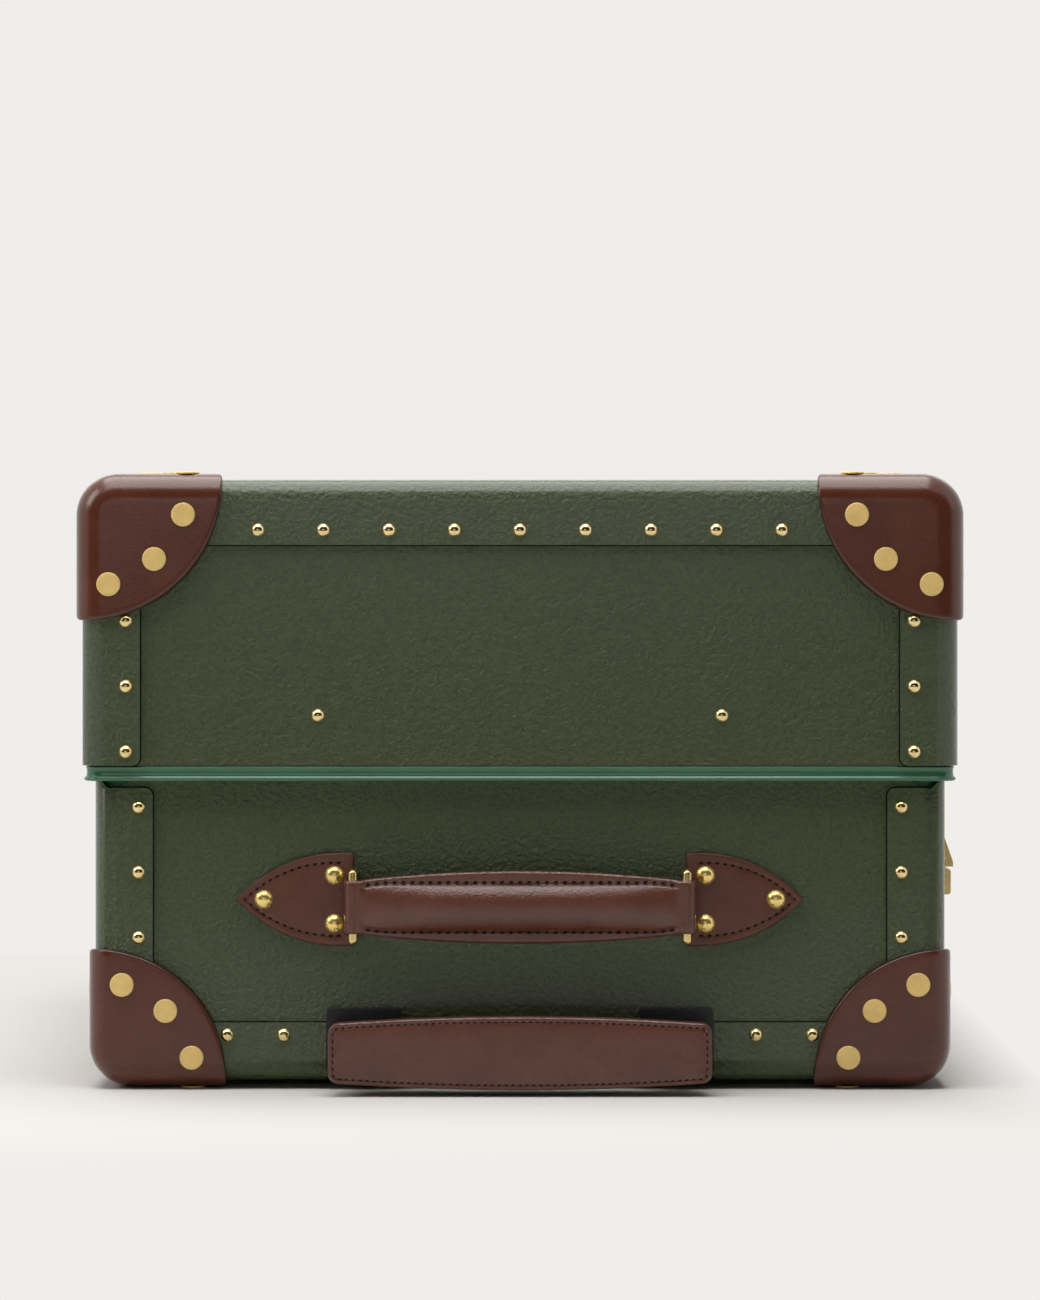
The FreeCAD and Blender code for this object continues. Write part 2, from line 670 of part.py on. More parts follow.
def make_linings():
    outer = inset(skirt_plan, S.rim_wall + S.lining_gap, S.rim_wall + S.lining_gap)
    corner = inner_corner - S.rim_wall - S.lining_gap
    finish(plan_ring("base_lining", outer, inset(outer, S.lining, S.lining),
                     (floor_top + S.floor_gap, tongue_top - S.floor_gap), corner, corner - S.lining))
    board_plan = inset(skirt_plan, S.floor_gap, S.floor_gap)
    board = plan_block("base_floor_board", board_plan, (floor_low, floor_top), inner_corner)
    finish(board)
    half, front, rear = inset(frame_hole, S.lining_gap, S.lining_gap)
    z = (tongue_top + S.lining_rise, lid_top - S.board - S.lining_gap)
    long_radius, end_radius = S.long_edge_radius - S.board, inner_corner - S.rim_wall
    outside = tray("lid_lining_outside", half, (front, rear), z, long_radius, end_radius, "high")
    hole_half, hole_y = hollow(half, (front, rear), S.lining)
    inside = tray("lid_lining_inside", hole_half, hole_y, (z[0] - PAST, z[1] - S.lining),
                  long_radius - S.lining, end_radius - S.lining, "high")
    finish(cut("lid_lining", outside, inside))


# Leather corners with their flat rivets

def leather_corners(half_name, plan, z, closed, reach):
    half, front, rear = plan
    closed_z = z[0] if closed == "low" else z[1]
    layers = []
    for layer, grow in (("outside", S.corner_leather), ("inside", S.corner_glue)):
        reach_z = (z[0] - grow, z[1]) if closed == "low" else (z[0], z[1] + grow)
        radii = S.long_edge_radius + grow, S.end_edge_radius + grow
        y = (front - grow, rear + grow)
        layers.append(tray(f"{half_name}_leather_{layer}", half + grow, y, reach_z, *radii, closed))
    balls = []
    for sign in SIGNS:
        for end, y in (("front", front), ("rear", rear)):
            balls.append(ball(f"{half_name}_reach_{end}_{sign}", (sign * half, y, closed_z), reach))
    layer = cut(f"{half_name}_leather_layer", *layers)
    finish(common(f"{half_name}_leather_corners", layer, group(f"{half_name}_reach", balls)))


def ring_places(ring, angles):
    return [(ring * math.cos(math.radians(angle)), ring * math.sin(math.radians(angle))) for angle in angles]


def corner_discs(half_name, plan, closed_z, up, ring, end_angles):
    half, front, rear = plan
    skin = S.corner_leather
    on_faces, elsewhere = [], []
    for sign in SIGNS:
        side = "+x" if sign > 0 else "-x"
        face = "+z" if up > 0 else "-z"
        for normal, end, way in (("-y", front, 1), ("+y", rear, -1)):
            tag = f"{half_name}_disc_{normal[0] == '+'}_{sign}"
            for index, (across, deep) in enumerate(ring_places(ring, end_angles)):
                point = (sign * (half - across), end - way * skin, closed_z - up * deep)
                elsewhere.append(disc(f"{tag}_end_{index}", point, normal))
            for index, (along, deep) in enumerate(ring_places(ring, SIDE_ANGLES)):
                point = (sign * (half + skin), end + way * along, closed_z - up * deep)
                elsewhere.append(disc(f"{tag}_side_{index}", point, side))
            for index, (across, along) in enumerate(ring_places(ring, FACE_ANGLES)):
                point = (sign * (half - across), end + way * along, closed_z + up * skin)
                on_faces.append(disc(f"{tag}_face_{index}", point, face))
    return on_faces, elsewhere


def make_corners():
    leather_corners("lid", lid_plan, (lid_low, lid_top), "high", S.lid_corner_reach)
    leather_corners("base", base_plan, (back, base_top), "low", S.base_corner_reach)
    faces, others = corner_discs("lid", lid_plan, lid_top, 1, S.lid_disc_ring, LID_END_ANGLES)
    finish(group("lid_corner_rivets", faces + others))
    faces, others = corner_discs("base", base_plan, back, -1, S.base_disc_ring, BASE_END_ANGLES)
    finish(group("base_foot_rivets", faces))
    finish(group("base_corner_rivets", others))


# Small domed rivets along the flanges

# How many rivets fit in a row of this length, at one pitch
def row_count(length):
    return 1 + math.floor(size_of(length).number / S.stud_pitch.number)


# Length of a leather corner's edge that lies within a row at this distance from the corner
def leather_reach(reach, distance):
    return math.sqrt(reach.number ** 2 - distance.number ** 2) + S.stud_radius.number


def make_panel_studs():
    lid_studs, base_studs = [], []
    row_steps = row_count(lid_half - leather_reach(S.lid_corner_reach, S.lid_row_drop))
    lid_side_steps = row_count(S.lid_depth - S.lid_side_row
                               - leather_reach(S.lid_corner_reach, S.side_row_inset))
    base_side_steps = row_count(S.base_depth - S.base_side_row
                                - leather_reach(S.base_corner_reach, S.side_row_inset))
    base_row_end = base_half - S.base_corner_reach - S.base_row_margin
    for end, (normal, lid_end, base_end, way) in ENDS.items():
        row_z = lid_top - S.lid_row_drop
        for step in range(1 - row_steps, row_steps):
            point = (step * S.stud_pitch, lid_end, row_z)
            lid_studs.append(stud(f"lid_{end}_row_{step}", point, normal, S.stud_radius))
        for sign in SIGNS:
            for step in range(lid_side_steps):
                z = lid_low + S.lid_side_row + step * S.stud_pitch
                point = (sign * (lid_half - S.side_row_inset), lid_end, z)
                lid_studs.append(stud(f"lid_{end}_side_{sign}_{step}", point, normal, S.stud_radius))
            for step in range(base_side_steps):
                z = base_top - S.base_side_row - step * S.stud_pitch
                point = (sign * (base_half - S.side_row_inset), base_end, z)
                base_studs.append(stud(f"base_{end}_side_{sign}_{step}", point, normal, S.stud_radius))
            face_point = (sign * S.face_stud_x, inner_face[end][0], lid_low + S.face_stud_rise)
            lid_studs.append(stud(f"lid_{end}_face_{sign}", face_point, normal, S.stud_radius))
            row = [base_row_end, base_row_end - S.base_row_step]
            row += [S.stud_pitch / 2] + ([S.stud_pitch * 1.5, S.stud_pitch * 2.5] if end == "wheel" else [])
            for index, x in enumerate(row):
                point = (sign * x, base_end, back + S.base_row_rise)
                base_studs.append(stud(f"base_{end}_row_{sign}_{index}", point, normal, S.stud_radius))
    finish(group("lid_panel_rivets", lid_studs))
    finish(group("base_panel_rivets", base_studs))


# Carry handle: tabs, rings and padded grip

handle_z = back + S.handle_rise
grip_z = handle_z - S.handle_drop
fold_radius = S.wire + S.wire_slip + S.fold_wall
ring_back_y = panel_front - fold_radius
ring_front_y = ring_back_y - S.ring_reach


def wire_space(name, x, y):
    reach = S.ring_half + S.wire + PAST
    return cylinder(name, "+z", (x, y, grip_z - reach), S.wire + S.wire_slip, 2 * reach)


def make_chapes():
    level = S.chape_edge + S.chape_flat
    arc = sag_radius(S.chape_tip - level, S.chape_half)
    studs = []
    for sign, side in zip(SIGNS, ("left", "right")):
        name = f"handle_chape_{side}"
        start = panel_front - S.chape_leather
        lens = []
        for way in SIGNS:
            arc_middle = (sign * level, start, handle_z + way * (arc - S.chape_half))
            lens.append(cylinder(f"{name}_arc_{way}", "+y", arc_middle, arc, S.chape_leather))
        block = box(f"{name}_block", mirrored(sign, S.chape_edge, S.chape_tip), (start, panel_front),
                    span(handle_z, S.chape_half))
        leaf = common(f"{name}_leaf", block, *lens)
        x = sign * S.chape_edge
        fold_start = (x, ring_back_y, handle_z - S.chape_fold / 2)
        fold = cylinder(f"{name}_fold", "+z", fold_start, fold_radius, S.chape_fold)
        finish(cut(name, fuse(f"{name}_leather", leaf, fold), wire_space(f"{name}_wire", x, ring_back_y)))
        places = [(S.chape_tip - S.chape_stud_tip, 0)]
        places += [(S.chape_edge + S.chape_stud_x, way * S.chape_stud_z) for way in SIGNS]
        for index, (across, rise) in enumerate(places):
            point = (sign * across, start, handle_z + rise)
            studs.append(stud(f"{name}_stud_{index}", point, "-y", S.chape_stud_radius))
    finish(group("chape_rivets", studs))


def make_rings():
    for sign, side in zip(SIGNS, ("left", "right")):
        name, x = f"handle_ring_{side}", sign * S.chape_edge
        pieces = []
        for index, y in enumerate((ring_back_y, ring_front_y)):
            start = (x, y, grip_z - S.ring_half)
            pieces.append(cylinder(f"{name}_bar_{index}", "+z", start, S.wire, 2 * S.ring_half))
        for way in SIGNS:
            z = grip_z + way * S.ring_half
            pieces.append(cylinder(f"{name}_side_{way}", "-y", (x, ring_back_y, z), S.wire, S.ring_reach))
            pieces += [ball(f"{name}_bend_{way}_{at}", (x, y, z), S.wire)
                       for at, y in enumerate((ring_back_y, ring_front_y))]
        finish(fuse(name, *pieces))


def make_carry_grip():
    name, half = "carry_handle_grip", S.chape_edge - S.grip_neck
    y = span(ring_front_y, S.grip_thick / 2 + ROLL_CLEAR)
    heights = crowned_corners(half, S.grip_end / 2, S.grip_middle / 2, grip_z)
    tall, pad = outline_body(f"{name}_height", "XZ", y, heights)
    faces = edge_names(pad, lambda bounds: any(on_plane(bounds, "Y", side) for side in y))
    round_edges(tall, pad, faces, S.grip_edge)
    widths = crowned_corners(half, S.grip_thin / 2, S.grip_thick / 2, ring_front_y)
    thick, _ = outline_body(f"{name}_width", "XY", span(grip_z, S.grip_middle), widths)
    roll = common(f"{name}_roll", tall, thick)
    pieces = [roll]
    for sign in SIGNS:
        neck_x = mirrored(sign, half - S.grip_edge, S.chape_edge)
        pieces.append(box(f"{name}_neck_{sign}", neck_x, span(ring_front_y, S.grip_thin / 2 - S.wire_slip),
                          span(grip_z, S.grip_fold / 2)))
        start = (sign * S.chape_edge, ring_front_y, grip_z - S.grip_fold / 2)
        pieces.append(cylinder(f"{name}_fold_{sign}", "+z", start, fold_radius, S.grip_fold))
    spaces = [wire_space(f"{name}_wire_{sign}", sign * S.chape_edge, ring_front_y) for sign in SIGNS]
    finish(cut(name, fuse(f"{name}_leather", *pieces), *spaces))


# Pull-out handle: bezels, telescoping tubes, locks, grip and trigger

bezel_front = base_front - S.bezel_proud
trolley_grip_front = base_front - S.trolley_grip_proud
trolley_grip_back = trolley_grip_front + S.trolley_grip_depth
tube_front = panel_front + S.board
tube_step = S.tube_wall + S.tube_slip
inner_front = trolley_grip_back - S.tube_seat
outer_length = base_back - base_front - 4 * S.board - S.tube_tail
sliding_length = outer_length - S.tube_step_back
inner_rear = inner_front + sliding_length
rod_x = S.tube_spread
pin_y = inner_rear - S.plug_length / 2


def tube(name, sign, y, step):
    sections = []
    for part, grow in (("outside", step), ("inside", step + S.tube_wall)):
        x = span(sign * S.tube_spread, S.tube_width / 2 - grow)
        z = span(trolley_z, S.tube_height / 2 - grow)
        reach = y if part == "outside" else (y[0] - PAST, y[1] + PAST)
        sections.append(rounded_bar(f"{name}_{part}_{sign}", x, reach, z, "Y", S.tube_corner))
    return cut(f"{name}_{sign}", *sections)


def make_fixed_trolley():
    bezels, tubes, feet = [], [], []
    for sign in SIGNS:
        x = span(sign * S.tube_spread, S.bezel_half)
        plate = rounded_bar(f"bezel_plate_{sign}", x, (bezel_front, panel_front),
                            (back + S.bezel_bottom, back + S.bezel_top), "Y", S.bezel_corner)
        hole = tube_space(f"bezel_hole_{sign}", sign, (bezel_front - PAST, panel_front + PAST),
                          S.tube_slip - tube_step)
        bezels.append(cut(f"bezel_{sign}", plate, hole))
        y = (tube_front, tube_front + outer_length)
        tubes.append(tube("outer_tube", sign, y, 0))
        foot_y = (y[1] + S.foot_margin - S.foot_length, y[1] + S.foot_margin)
        foot_x = span(sign * S.tube_spread, S.tube_width / 2 + S.foot_margin)
        block = box(f"foot_block_{sign}", foot_x, foot_y, (back + S.board, floor_low))
        socket_y = (foot_y[0] - PAST, y[1] + S.floor_gap)
        socket = tube_space(f"foot_socket_{sign}", sign, socket_y, S.floor_gap / 2)
        feet.append(cut(f"foot_{sign}", block, socket))
    finish(group("trolley_bezels", bezels))
    finish(group("trolley_outer_tubes", tubes))
    finish(group("trolley_tube_feet", feet))


def make_sliding_tubes():
    middle, inner, plugs, pins = [], [], [], []
    for sign, side in zip(SIGNS, ("left", "right")):
        middle_front = bezel_front - S.middle_proud
        middle.append(tube("middle_tube", sign, (middle_front, middle_front + sliding_length), tube_step))
        wall = tube("inner_tube_wall", sign, (inner_front, inner_rear), 2 * tube_step)
        normal = "+x" if sign > 0 else "-x"
        axis_x = sign * S.tube_spread
        bore = S.lock_pin + S.pin_slip
        pin_tip = sign * (S.tube_spread + S.tube_width / 2 - 2 * tube_step)
        tube_bore = cylinder(f"tube_bore_{sign}", normal, (axis_x, pin_y, trolley_z), bore, S.tube_width)
        inner.append(cut(f"inner_tube_{sign}", wall, tube_bore))
        gap = -2 * tube_step - S.tube_wall - S.core_slip
        plug_y = (inner_rear - S.plug_length, inner_rear)
        width, height = S.tube_width / 2 + gap, S.tube_height / 2 + gap
        plug = rounded_bar(f"plug_block_{sign}", span(axis_x, width), plug_y, span(trolley_z, height), "Y",
                           S.tube_corner)
        depth = S.pin_length + S.pin_travel + S.pin_slip
        bore_start = (pin_tip - sign * depth, pin_y, trolley_z)
        pin_bore = cylinder(f"plug_pin_bore_{sign}", normal, bore_start, bore, depth)
        rod_bore = cylinder(f"plug_rod_bore_{sign}", "+y", (axis_x, plug_y[0] - PAST, trolley_z),
                            S.rod_radius + S.trigger_slip, PAST + S.plug_length / 2)
        plugs.append(cut(f"lock_plug_{sign}", plug, pin_bore, rod_bore))
        start = (pin_tip - sign * S.pin_length, pin_y, trolley_z)
        pins.append(cylinder(f"lock_pin_{side}", normal, start, S.lock_pin, S.pin_length))
    finish(group("trolley_middle_tubes", middle))
    finish(group("trolley_inner_tubes", inner))
    finish(group("trolley_lock_plugs", plugs))
    for pin in pins:
        finish(pin)


def make_trolley_grip():
    half = S.trolley_grip_half
    y = (trolley_grip_front, trolley_grip_back)
    corners = crowned_corners(half, S.trolley_grip_end / 2, S.trolley_grip_middle / 2, trolley_z)
    body, pad = outline_body("trolley_cover_outside", "XZ", y, corners)
    outer_edges = edge_names(pad, lambda bounds: not on_plane(bounds, "Y", y[1]))
    round_edges(body, pad, outer_edges, S.trolley_grip_edge)
    core_x = half - S.cover_leather
    core_y = (y[0] + S.cover_leather, y[1])
    slip = S.core_slip
    space = box("trolley_cover_space", centred(core_x + slip), (core_y[0] - slip, y[1] + PAST),
                span(trolley_z, S.core_half + slip))
    finish(cut("trolley_grip_cover", body, space))
    block = box("trolley_core_block", centred(core_x), core_y, span(trolley_z, S.core_half))
    room = S.trigger_slip
    yoke_x = rod_x + S.rod_radius + S.yoke_margin
    yoke_y = (inner_front - 2 * room - S.yoke - S.trigger_travel, inner_front + slip)
    slot_z = span(trolley_z, S.trigger_thick / 2 + room)
    finger_y, seat_y = (yoke_y[0], y[1] + PAST), (inner_front, y[1] + PAST)
    tools = [
        box("core_yoke_slot", centred(yoke_x + room), yoke_y, slot_z),
        box("core_finger_slot", centred(S.trigger_half + room), finger_y, slot_z),
    ]
    tools += [tube_space(f"core_tube_seat_{sign}", sign, seat_y, S.pin_fit - 2 * tube_step) for sign in SIGNS]
    finish(cut("trolley_grip_core", block, *tools))
    rest = inner_front - room
    trigger_z = span(trolley_z, S.trigger_thick / 2)
    yoke = box("trigger_yoke", centred(yoke_x), (rest - S.yoke, rest), trigger_z)
    finger_y = (rest - S.yoke, y[1] + S.trigger_proud)
    fingers = box("trigger_fingers", centred(S.trigger_half), finger_y, trigger_z)
    finish(fuse("trolley_trigger", yoke, fingers))
    length = pin_y - S.lock_pin - 2 * S.trigger_slip - rest
    finish(group("trolley_push_rods", [cylinder(f"push_rod_{sign}", "+y", (sign * rod_x, rest, trolley_z),
                                                S.rod_radius, length) for sign in SIGNS]))


# Hinges on the left side

hinge_x = -hinge_reach
hinge_z = rim_top + S.mouth_gap / 2


def make_hinges():
    lid_leaves, base_leaves, pins = [], [], []
    third = S.hinge_length / 3
    for step in SIGNS + (0,):
        middle = (lid_front + lid_back) / 2 + step * S.hinge_pitch
        y_low = middle - S.hinge_length / 2
        full = (y_low, y_low + S.hinge_length)
        inner = (y_low + third + S.knuckle_gap, y_low + 2 * third - S.knuckle_gap)
        outers = ((y_low, y_low + third), (y_low + 2 * third, full[1]))
        tag = f"hinge_{step}"
        lid_x, leaf_top = (-lid_half - S.leaf, -lid_half), hinge_z + S.leaf_height
        pin_start, middle_length = (hinge_x, full[0], hinge_z), inner[1] - inner[0]
        pieces = [
            box(f"{tag}_lid_plate", lid_x, full, (hinge_z + S.knuckle + S.knuckle_gap, leaf_top)),
            box(f"{tag}_lid_web", lid_x, inner, (hinge_z, leaf_top)),
            cylinder(f"{tag}_lid_knuckle", "+y", (hinge_x, inner[0], hinge_z), S.knuckle, middle_length),
        ]
        bore = cylinder(f"{tag}_lid_bore", "+y", pin_start, S.hinge_pin + S.pin_fit, S.hinge_length)
        lid_leaves.append(cut(f"{tag}_lid_leaf", fuse(f"{tag}_lid_solid", *pieces), bore))
        base_x = (-base_half - S.leaf, -base_half)
        arm_z = (hinge_z - S.arm_drop, hinge_z - S.arm_drop + S.leaf)
        pieces = [box(f"{tag}_base_plate", base_x, full, (hinge_z - S.arm_drop - S.leaf_height, arm_z[1]))]
        for index, y in enumerate(outers):
            post_x = span(hinge_x, S.leaf / 2)
            pieces.append(box(f"{tag}_arm_{index}", (post_x[0], -base_half), y, arm_z))
            pieces.append(box(f"{tag}_post_{index}", post_x, y, (arm_z[0], hinge_z)))
            knuckle_start = (hinge_x, y[0], hinge_z)
            pieces.append(cylinder(f"{tag}_knuckle_{index}", "+y", knuckle_start, S.knuckle, third))
        bore = cylinder(f"{tag}_base_bore", "+y", pin_start, S.hinge_pin, S.hinge_length)
        base_leaves.append(cut(f"{tag}_base_leaf", fuse(f"{tag}_base_solid", *pieces), bore))
        pins.append(cylinder(f"{tag}_pin", "+y", pin_start, S.hinge_pin, S.hinge_length))
    finish(group("hinge_leaves_lid", lid_leaves))
    finish(group("hinge_leaves_base", base_leaves))
    finish(group("hinge_pins", pins))


# Latches on the right side: a slotted block and bolt on the base, a hasp on the lid

hasp_z = lid_low + S.hasp_line
hasp_inner_x = lid_half + S.hasp_plate + S.hasp_gap
hasp_x = lid_half + S.hasp_plate + S.hasp_gap + S.hasp_knuckle
block_top = base_top - S.block_drop
block_low = block_top - S.block_height
flap_low = block_top + S.flap_gap
bolt_z = (block_low + S.block_floor + block_top) / 2
bolt_x = base_half + (S.latch_plate + S.block_proud) / 2
LATCHES = {"front": lid_front + S.latch_inset, "rear": lid_back - S.latch_inset}


def make_latch_bodies():
    bodies = []
    for end, middle in LATCHES.items():
        y = span(middle, S.latch_half)
        plate_top = base_top - S.latch_drop
        plate = box(f"latch_{end}_plate", (base_half, base_half + S.latch_plate), y,
                    (plate_top - S.latch_height, plate_top))
        block = rounded_bar(f"latch_{end}_block", (base_half, base_half + S.block_proud), y,
                            (block_low, block_top), "Y", S.latch_plate)
        slot = box(f"latch_{end}_slot", (base_half + S.latch_plate, base_half + S.block_proud + PAST),
                   span(middle, S.slot_half), (block_low + S.block_floor, block_top + PAST))
        bore_start = middle - S.latch_half + S.leaf
        bore = cylinder(f"latch_{end}_bore", "+y", (bolt_x, bore_start, bolt_z), S.bolt + S.bolt_fit,
                        2 * S.latch_half)
        bodies.append(cut(f"latch_{end}", fuse(f"latch_{end}_solid", plate, block), slot, bore))
    finish(group("latch_bodies", bodies))


def make_bolts():
    for end, middle in LATCHES.items():
        start = middle + S.slot_half + S.tongue_slip
        head = middle + S.latch_half + S.bolt_travel + S.knuckle_gap
        rod = cylinder(f"bolt_{end}_rod", "+y", (bolt_x, start, bolt_z), S.bolt, head - start)
        knob = cylinder(f"bolt_{end}_knob", "+y", (bolt_x, head, bolt_z), S.bolt_head, S.bolt_head_length)
        finish(fuse(f"bolt_{end}", rod, knob))


def make_hasps():
    plates = []
    third = 2 * S.latch_half / 3
    for end, middle in LATCHES.items():
        y = span(middle, S.latch_half)
        inner = (y[0] + third + S.knuckle_gap, y[1] - third - S.knuckle_gap)
        pin_start, width = (hasp_x, y[0], hasp_z), 2 * S.latch_half
        bolt_hole = S.bolt + S.tongue_slip / 2
        plate = box(f"hasp_plate_{end}_sheet", (lid_half, lid_half + S.hasp_plate), y,
                    (hasp_z - S.hasp_knuckle, hasp_z - S.hasp_knuckle + S.hasp_plate_height))
        pieces = [plate, cylinder(f"hasp_plate_{end}_pin", "+y", pin_start, S.hasp_pin, width)]
        for index, start in enumerate((y[0], y[1] - third)):
            reach, ear = (start, start + third), f"hasp_plate_{end}_ear_{index}"
            pieces.append(cylinder(ear, "+y", (hasp_x, start, hasp_z), S.hasp_knuckle, third))
            pieces.append(box(f"hasp_plate_{end}_web_{index}", (lid_half, hasp_x), reach,
                              (hasp_z, hasp_z + S.hasp_knuckle)))
        plates.append(fuse(f"hasp_plate_{end}", *pieces))
        arm_x = (hasp_inner_x, hasp_inner_x + S.hasp_thick)
        corners = [
            (arm_x[0], flap_low),
            (hardware_x, flap_low),
            (hardware_x, flap_low + S.flap_lip),
            (arm_x[1], flap_low + S.flap_height),
            (arm_x[0], flap_low + S.flap_height),
        ]
        low_y = span(middle, S.latch_half - S.hasp_thick)
        flap, _ = outline_body(f"hasp_{end}_flap", "XZ", low_y, corners)
        tongue_y = span(middle, S.slot_half - S.tongue_slip)
        tongue_x = span(bolt_x, S.tongue_thick / 2)
        tongue_z = (block_low + S.tongue_tip, flap_low + S.flap_height / 2)
        tip = box(f"hasp_{end}_tip", tongue_x, tongue_y, tongue_z)
        neck = box(f"hasp_{end}_neck", (tongue_x[0], arm_x[1]), tongue_y, (flap_low, tongue_z[1]))
        knuckle_start, knuckle_length = (hasp_x, inner[0], hasp_z), inner[1] - inner[0]
        pieces = [
            flap,
            box(f"hasp_{end}_arm", arm_x, low_y, (flap_low, hasp_z - S.hasp_knuckle - S.knuckle_gap)),
            box(f"hasp_{end}_root", arm_x, inner, (flap_low, hasp_z)),
            cylinder(f"hasp_{end}_knuckle", "+y", knuckle_start, S.hasp_knuckle, knuckle_length),
            tip,
            neck,
        ]
        tools = [
            cylinder(f"hasp_{end}_pin_bore", "+y", pin_start, S.hasp_pin + S.pin_fit, width),
            cylinder(f"hasp_{end}_bolt_hole", "+y", (bolt_x, y[0], bolt_z), bolt_hole, width),
        ]
        finish(cut(f"hasp_{end}", fuse(f"hasp_{end}_solid", *pieces), *tools))
    finish(group("hasp_plates", plates))


# Packing straps on the floor board

def make_straps():
    straps, buckles = [], []
    strap_half = skirt_plan[0] - S.rim_wall - S.lining_gap - S.lining - S.strap_gap
    for step in SIGNS:
        middle = (base_front + base_back) / 2 + step * S.strap_pitch / 2
        z = (floor_top, floor_top + S.strap_thick)
        straps.append(box(f"strap_{step}", centred(strap_half), span(middle, S.strap_width / 2), z))
        buckle_y = span(middle, S.strap_width / 2 + S.buckle_side)
        buckle_z = (z[1], z[1] + S.buckle_thick)
        frame = rounded_bar(f"buckle_{step}_frame", centred(S.buckle_half), buckle_y, buckle_z, "Z",
                            S.buckle_bar)
        hole_y = (buckle_y[0] + S.buckle_bar, buckle_y[1] - S.buckle_bar)
        hole = box(f"buckle_{step}_hole", centred(S.buckle_half - S.buckle_bar), hole_y,
                   (buckle_z[0] - PAST, buckle_z[1] + PAST))
        bar = box(f"buckle_{step}_bar", centred(S.buckle_bar / 2), buckle_y, buckle_z)
        prong = box(f"buckle_{step}_prong", (0, S.buckle_half), span(middle, S.prong_half), buckle_z)
        buckles.append(fuse(f"buckle_{step}", cut(f"buckle_{step}_ring", frame, hole), bar, prong))
    finish(group("packing_straps", straps))
    finish(group("strap_buckles", buckles))


# Spinner wheels, two on each half

mount_face = lid_back + S.mount_plate
boss_face = mount_face + S.boss_height
crown_low = boss_face + S.fork_gap
crown_high = crown_low + S.crown_height
axle_y = lid_back + caster_height - S.wheel_radius


def make_wheel(name, sign, x, axle_z):
    near = S.leg_half + S.leg_gap
    low, high = mirrored(sign, near, near + S.wheel_width)
    body = doc.addObject("PartDesign::Body", f"{name}_tread")
    drum = body.newObject("PartDesign::AdditiveCylinder", f"{name}_drum")
    bind(drum, "Radius", S.wheel_radius)
    bind(drum, "Height", S.wheel_width)
    place(drum, (x + low, axle_y, axle_z), "+x")
    doc.recompute()
    rims = edge_names(drum, lambda bounds: bounds.XLength < TINY)
    round_edges(body, drum, rims, S.wheel_shoulder)
    bore = cylinder(f"{name}_bore", "+x", (x + low - PAST, axle_y, axle_z), S.axle + S.axle_fit,
                    S.wheel_width + 2 * PAST)
    dish_x = x + (high - S.wheel_recess if sign > 0 else low + S.wheel_recess)
    outward = "+x" if sign > 0 else "-x"
    dish = cylinder(f"{name}_dish", outward, (dish_x, axle_y, axle_z), S.wheel_dish, S.wheel_width)
    return cut(name, body, bore, dish)


def make_caster(half_name, side, x, z, seat):
    tag = f"{half_name}_{side}"
    plate = rounded_bar(f"mount_{tag}_plate", span(x, S.mount_half), (seat, mount_face),
                        span(z, S.mount_half), "Y", S.mount_corner)
    boss = cylinder(f"mount_{tag}_boss", "+y", (x, mount_face - PAST, z), S.boss_radius, S.boss_height + PAST)
    bore_start = boss_face - S.kingpin_depth
    bore = cylinder(f"mount_{tag}_bore", "+y", (x, bore_start, z), S.kingpin + S.kingpin_fit,
                    S.kingpin_depth + PAST)
    finish(cut(f"caster_mount_{tag}", fuse(f"mount_{tag}_solid", plate, boss), bore))
    axle_z = z - S.trail
    crown = cylinder(f"fork_{tag}_crown", "+y", (x, crown_low, z), S.crown_radius, S.crown_height)
    pin_start = bore_start + S.fork_gap
    pin = cylinder(f"fork_{tag}_kingpin", "+y", (x, pin_start, z), S.kingpin, crown_low + PAST - pin_start)
    hub = cylinder(f"fork_{tag}_hub", "+x", (x - S.leg_half, axle_y, axle_z), S.hub_radius, 2 * S.leg_half)
    corners = [
        (crown_high - PAST, z - S.crown_radius + S.leg_inset),
        (axle_y, axle_z - S.hub_radius),
        (axle_y + S.hub_radius, axle_z),
        (axle_y, axle_z + S.hub_radius),
        (crown_high - PAST, z + S.crown_radius - S.leg_inset),
    ]
    leg, _ = outline_body(f"fork_{tag}_leg", "YZ", span(x, S.leg_half), corners)
    arm = fuse(f"fork_{tag}_solid", crown, pin, hub, leg)
    reach = S.leg_half + S.leg_gap + S.wheel_width - S.wheel_recess
    seat_bore = cylinder(f"fork_{tag}_axle_bore", "+x", (x - reach, axle_y, axle_z), S.axle, 2 * reach)
    axle = cylinder(f"fork_{tag}_axle", "+x", (x - reach, axle_y, axle_z), S.axle, 2 * reach)
    finish(group(f"caster_fork_{tag}", [cut(f"fork_{tag}_arm", arm, seat_bore), axle]))
    wheels = [make_wheel(f"wheel_{tag}_{sign}", sign, x, axle_z) for sign in SIGNS]
    finish(group(f"caster_wheels_{tag}", wheels))


def make_casters():
    lid_seat, base_seat = inner_face["wheel"]
    mount_reach = S.mount_margin + S.mount_half
    for sign, side in zip(SIGNS, ("left", "right")):
        x = sign * (lid_half - S.caster_inset)
        make_caster("base", side, x, back + S.flange_width + mount_reach, base_seat)
        make_caster("lid", side, x, lid_top - S.lid_flange_height - mount_reach, lid_seat)


def check_and_write():
    doc.recompute()
    for thing in doc.Objects:
        faults = [state for state in thing.State if state in ("Invalid", "Error")]
        if faults:
            raise RuntimeError(f"{thing.Label} is {faults}")
    for piece in finished:
        shape = piece.Shape
        if shape.isNull() or not shape.isValid() or not shape.Solids:
            raise RuntimeError(f"{piece.Label} has no valid solid")
    os.makedirs("parts", exist_ok=True)
    for piece in finished:
        piece.Shape.exportStep(f"parts/{piece.Label}.step")
        print(piece.Label, len(piece.Shape.Solids), round(piece.Shape.Volume))


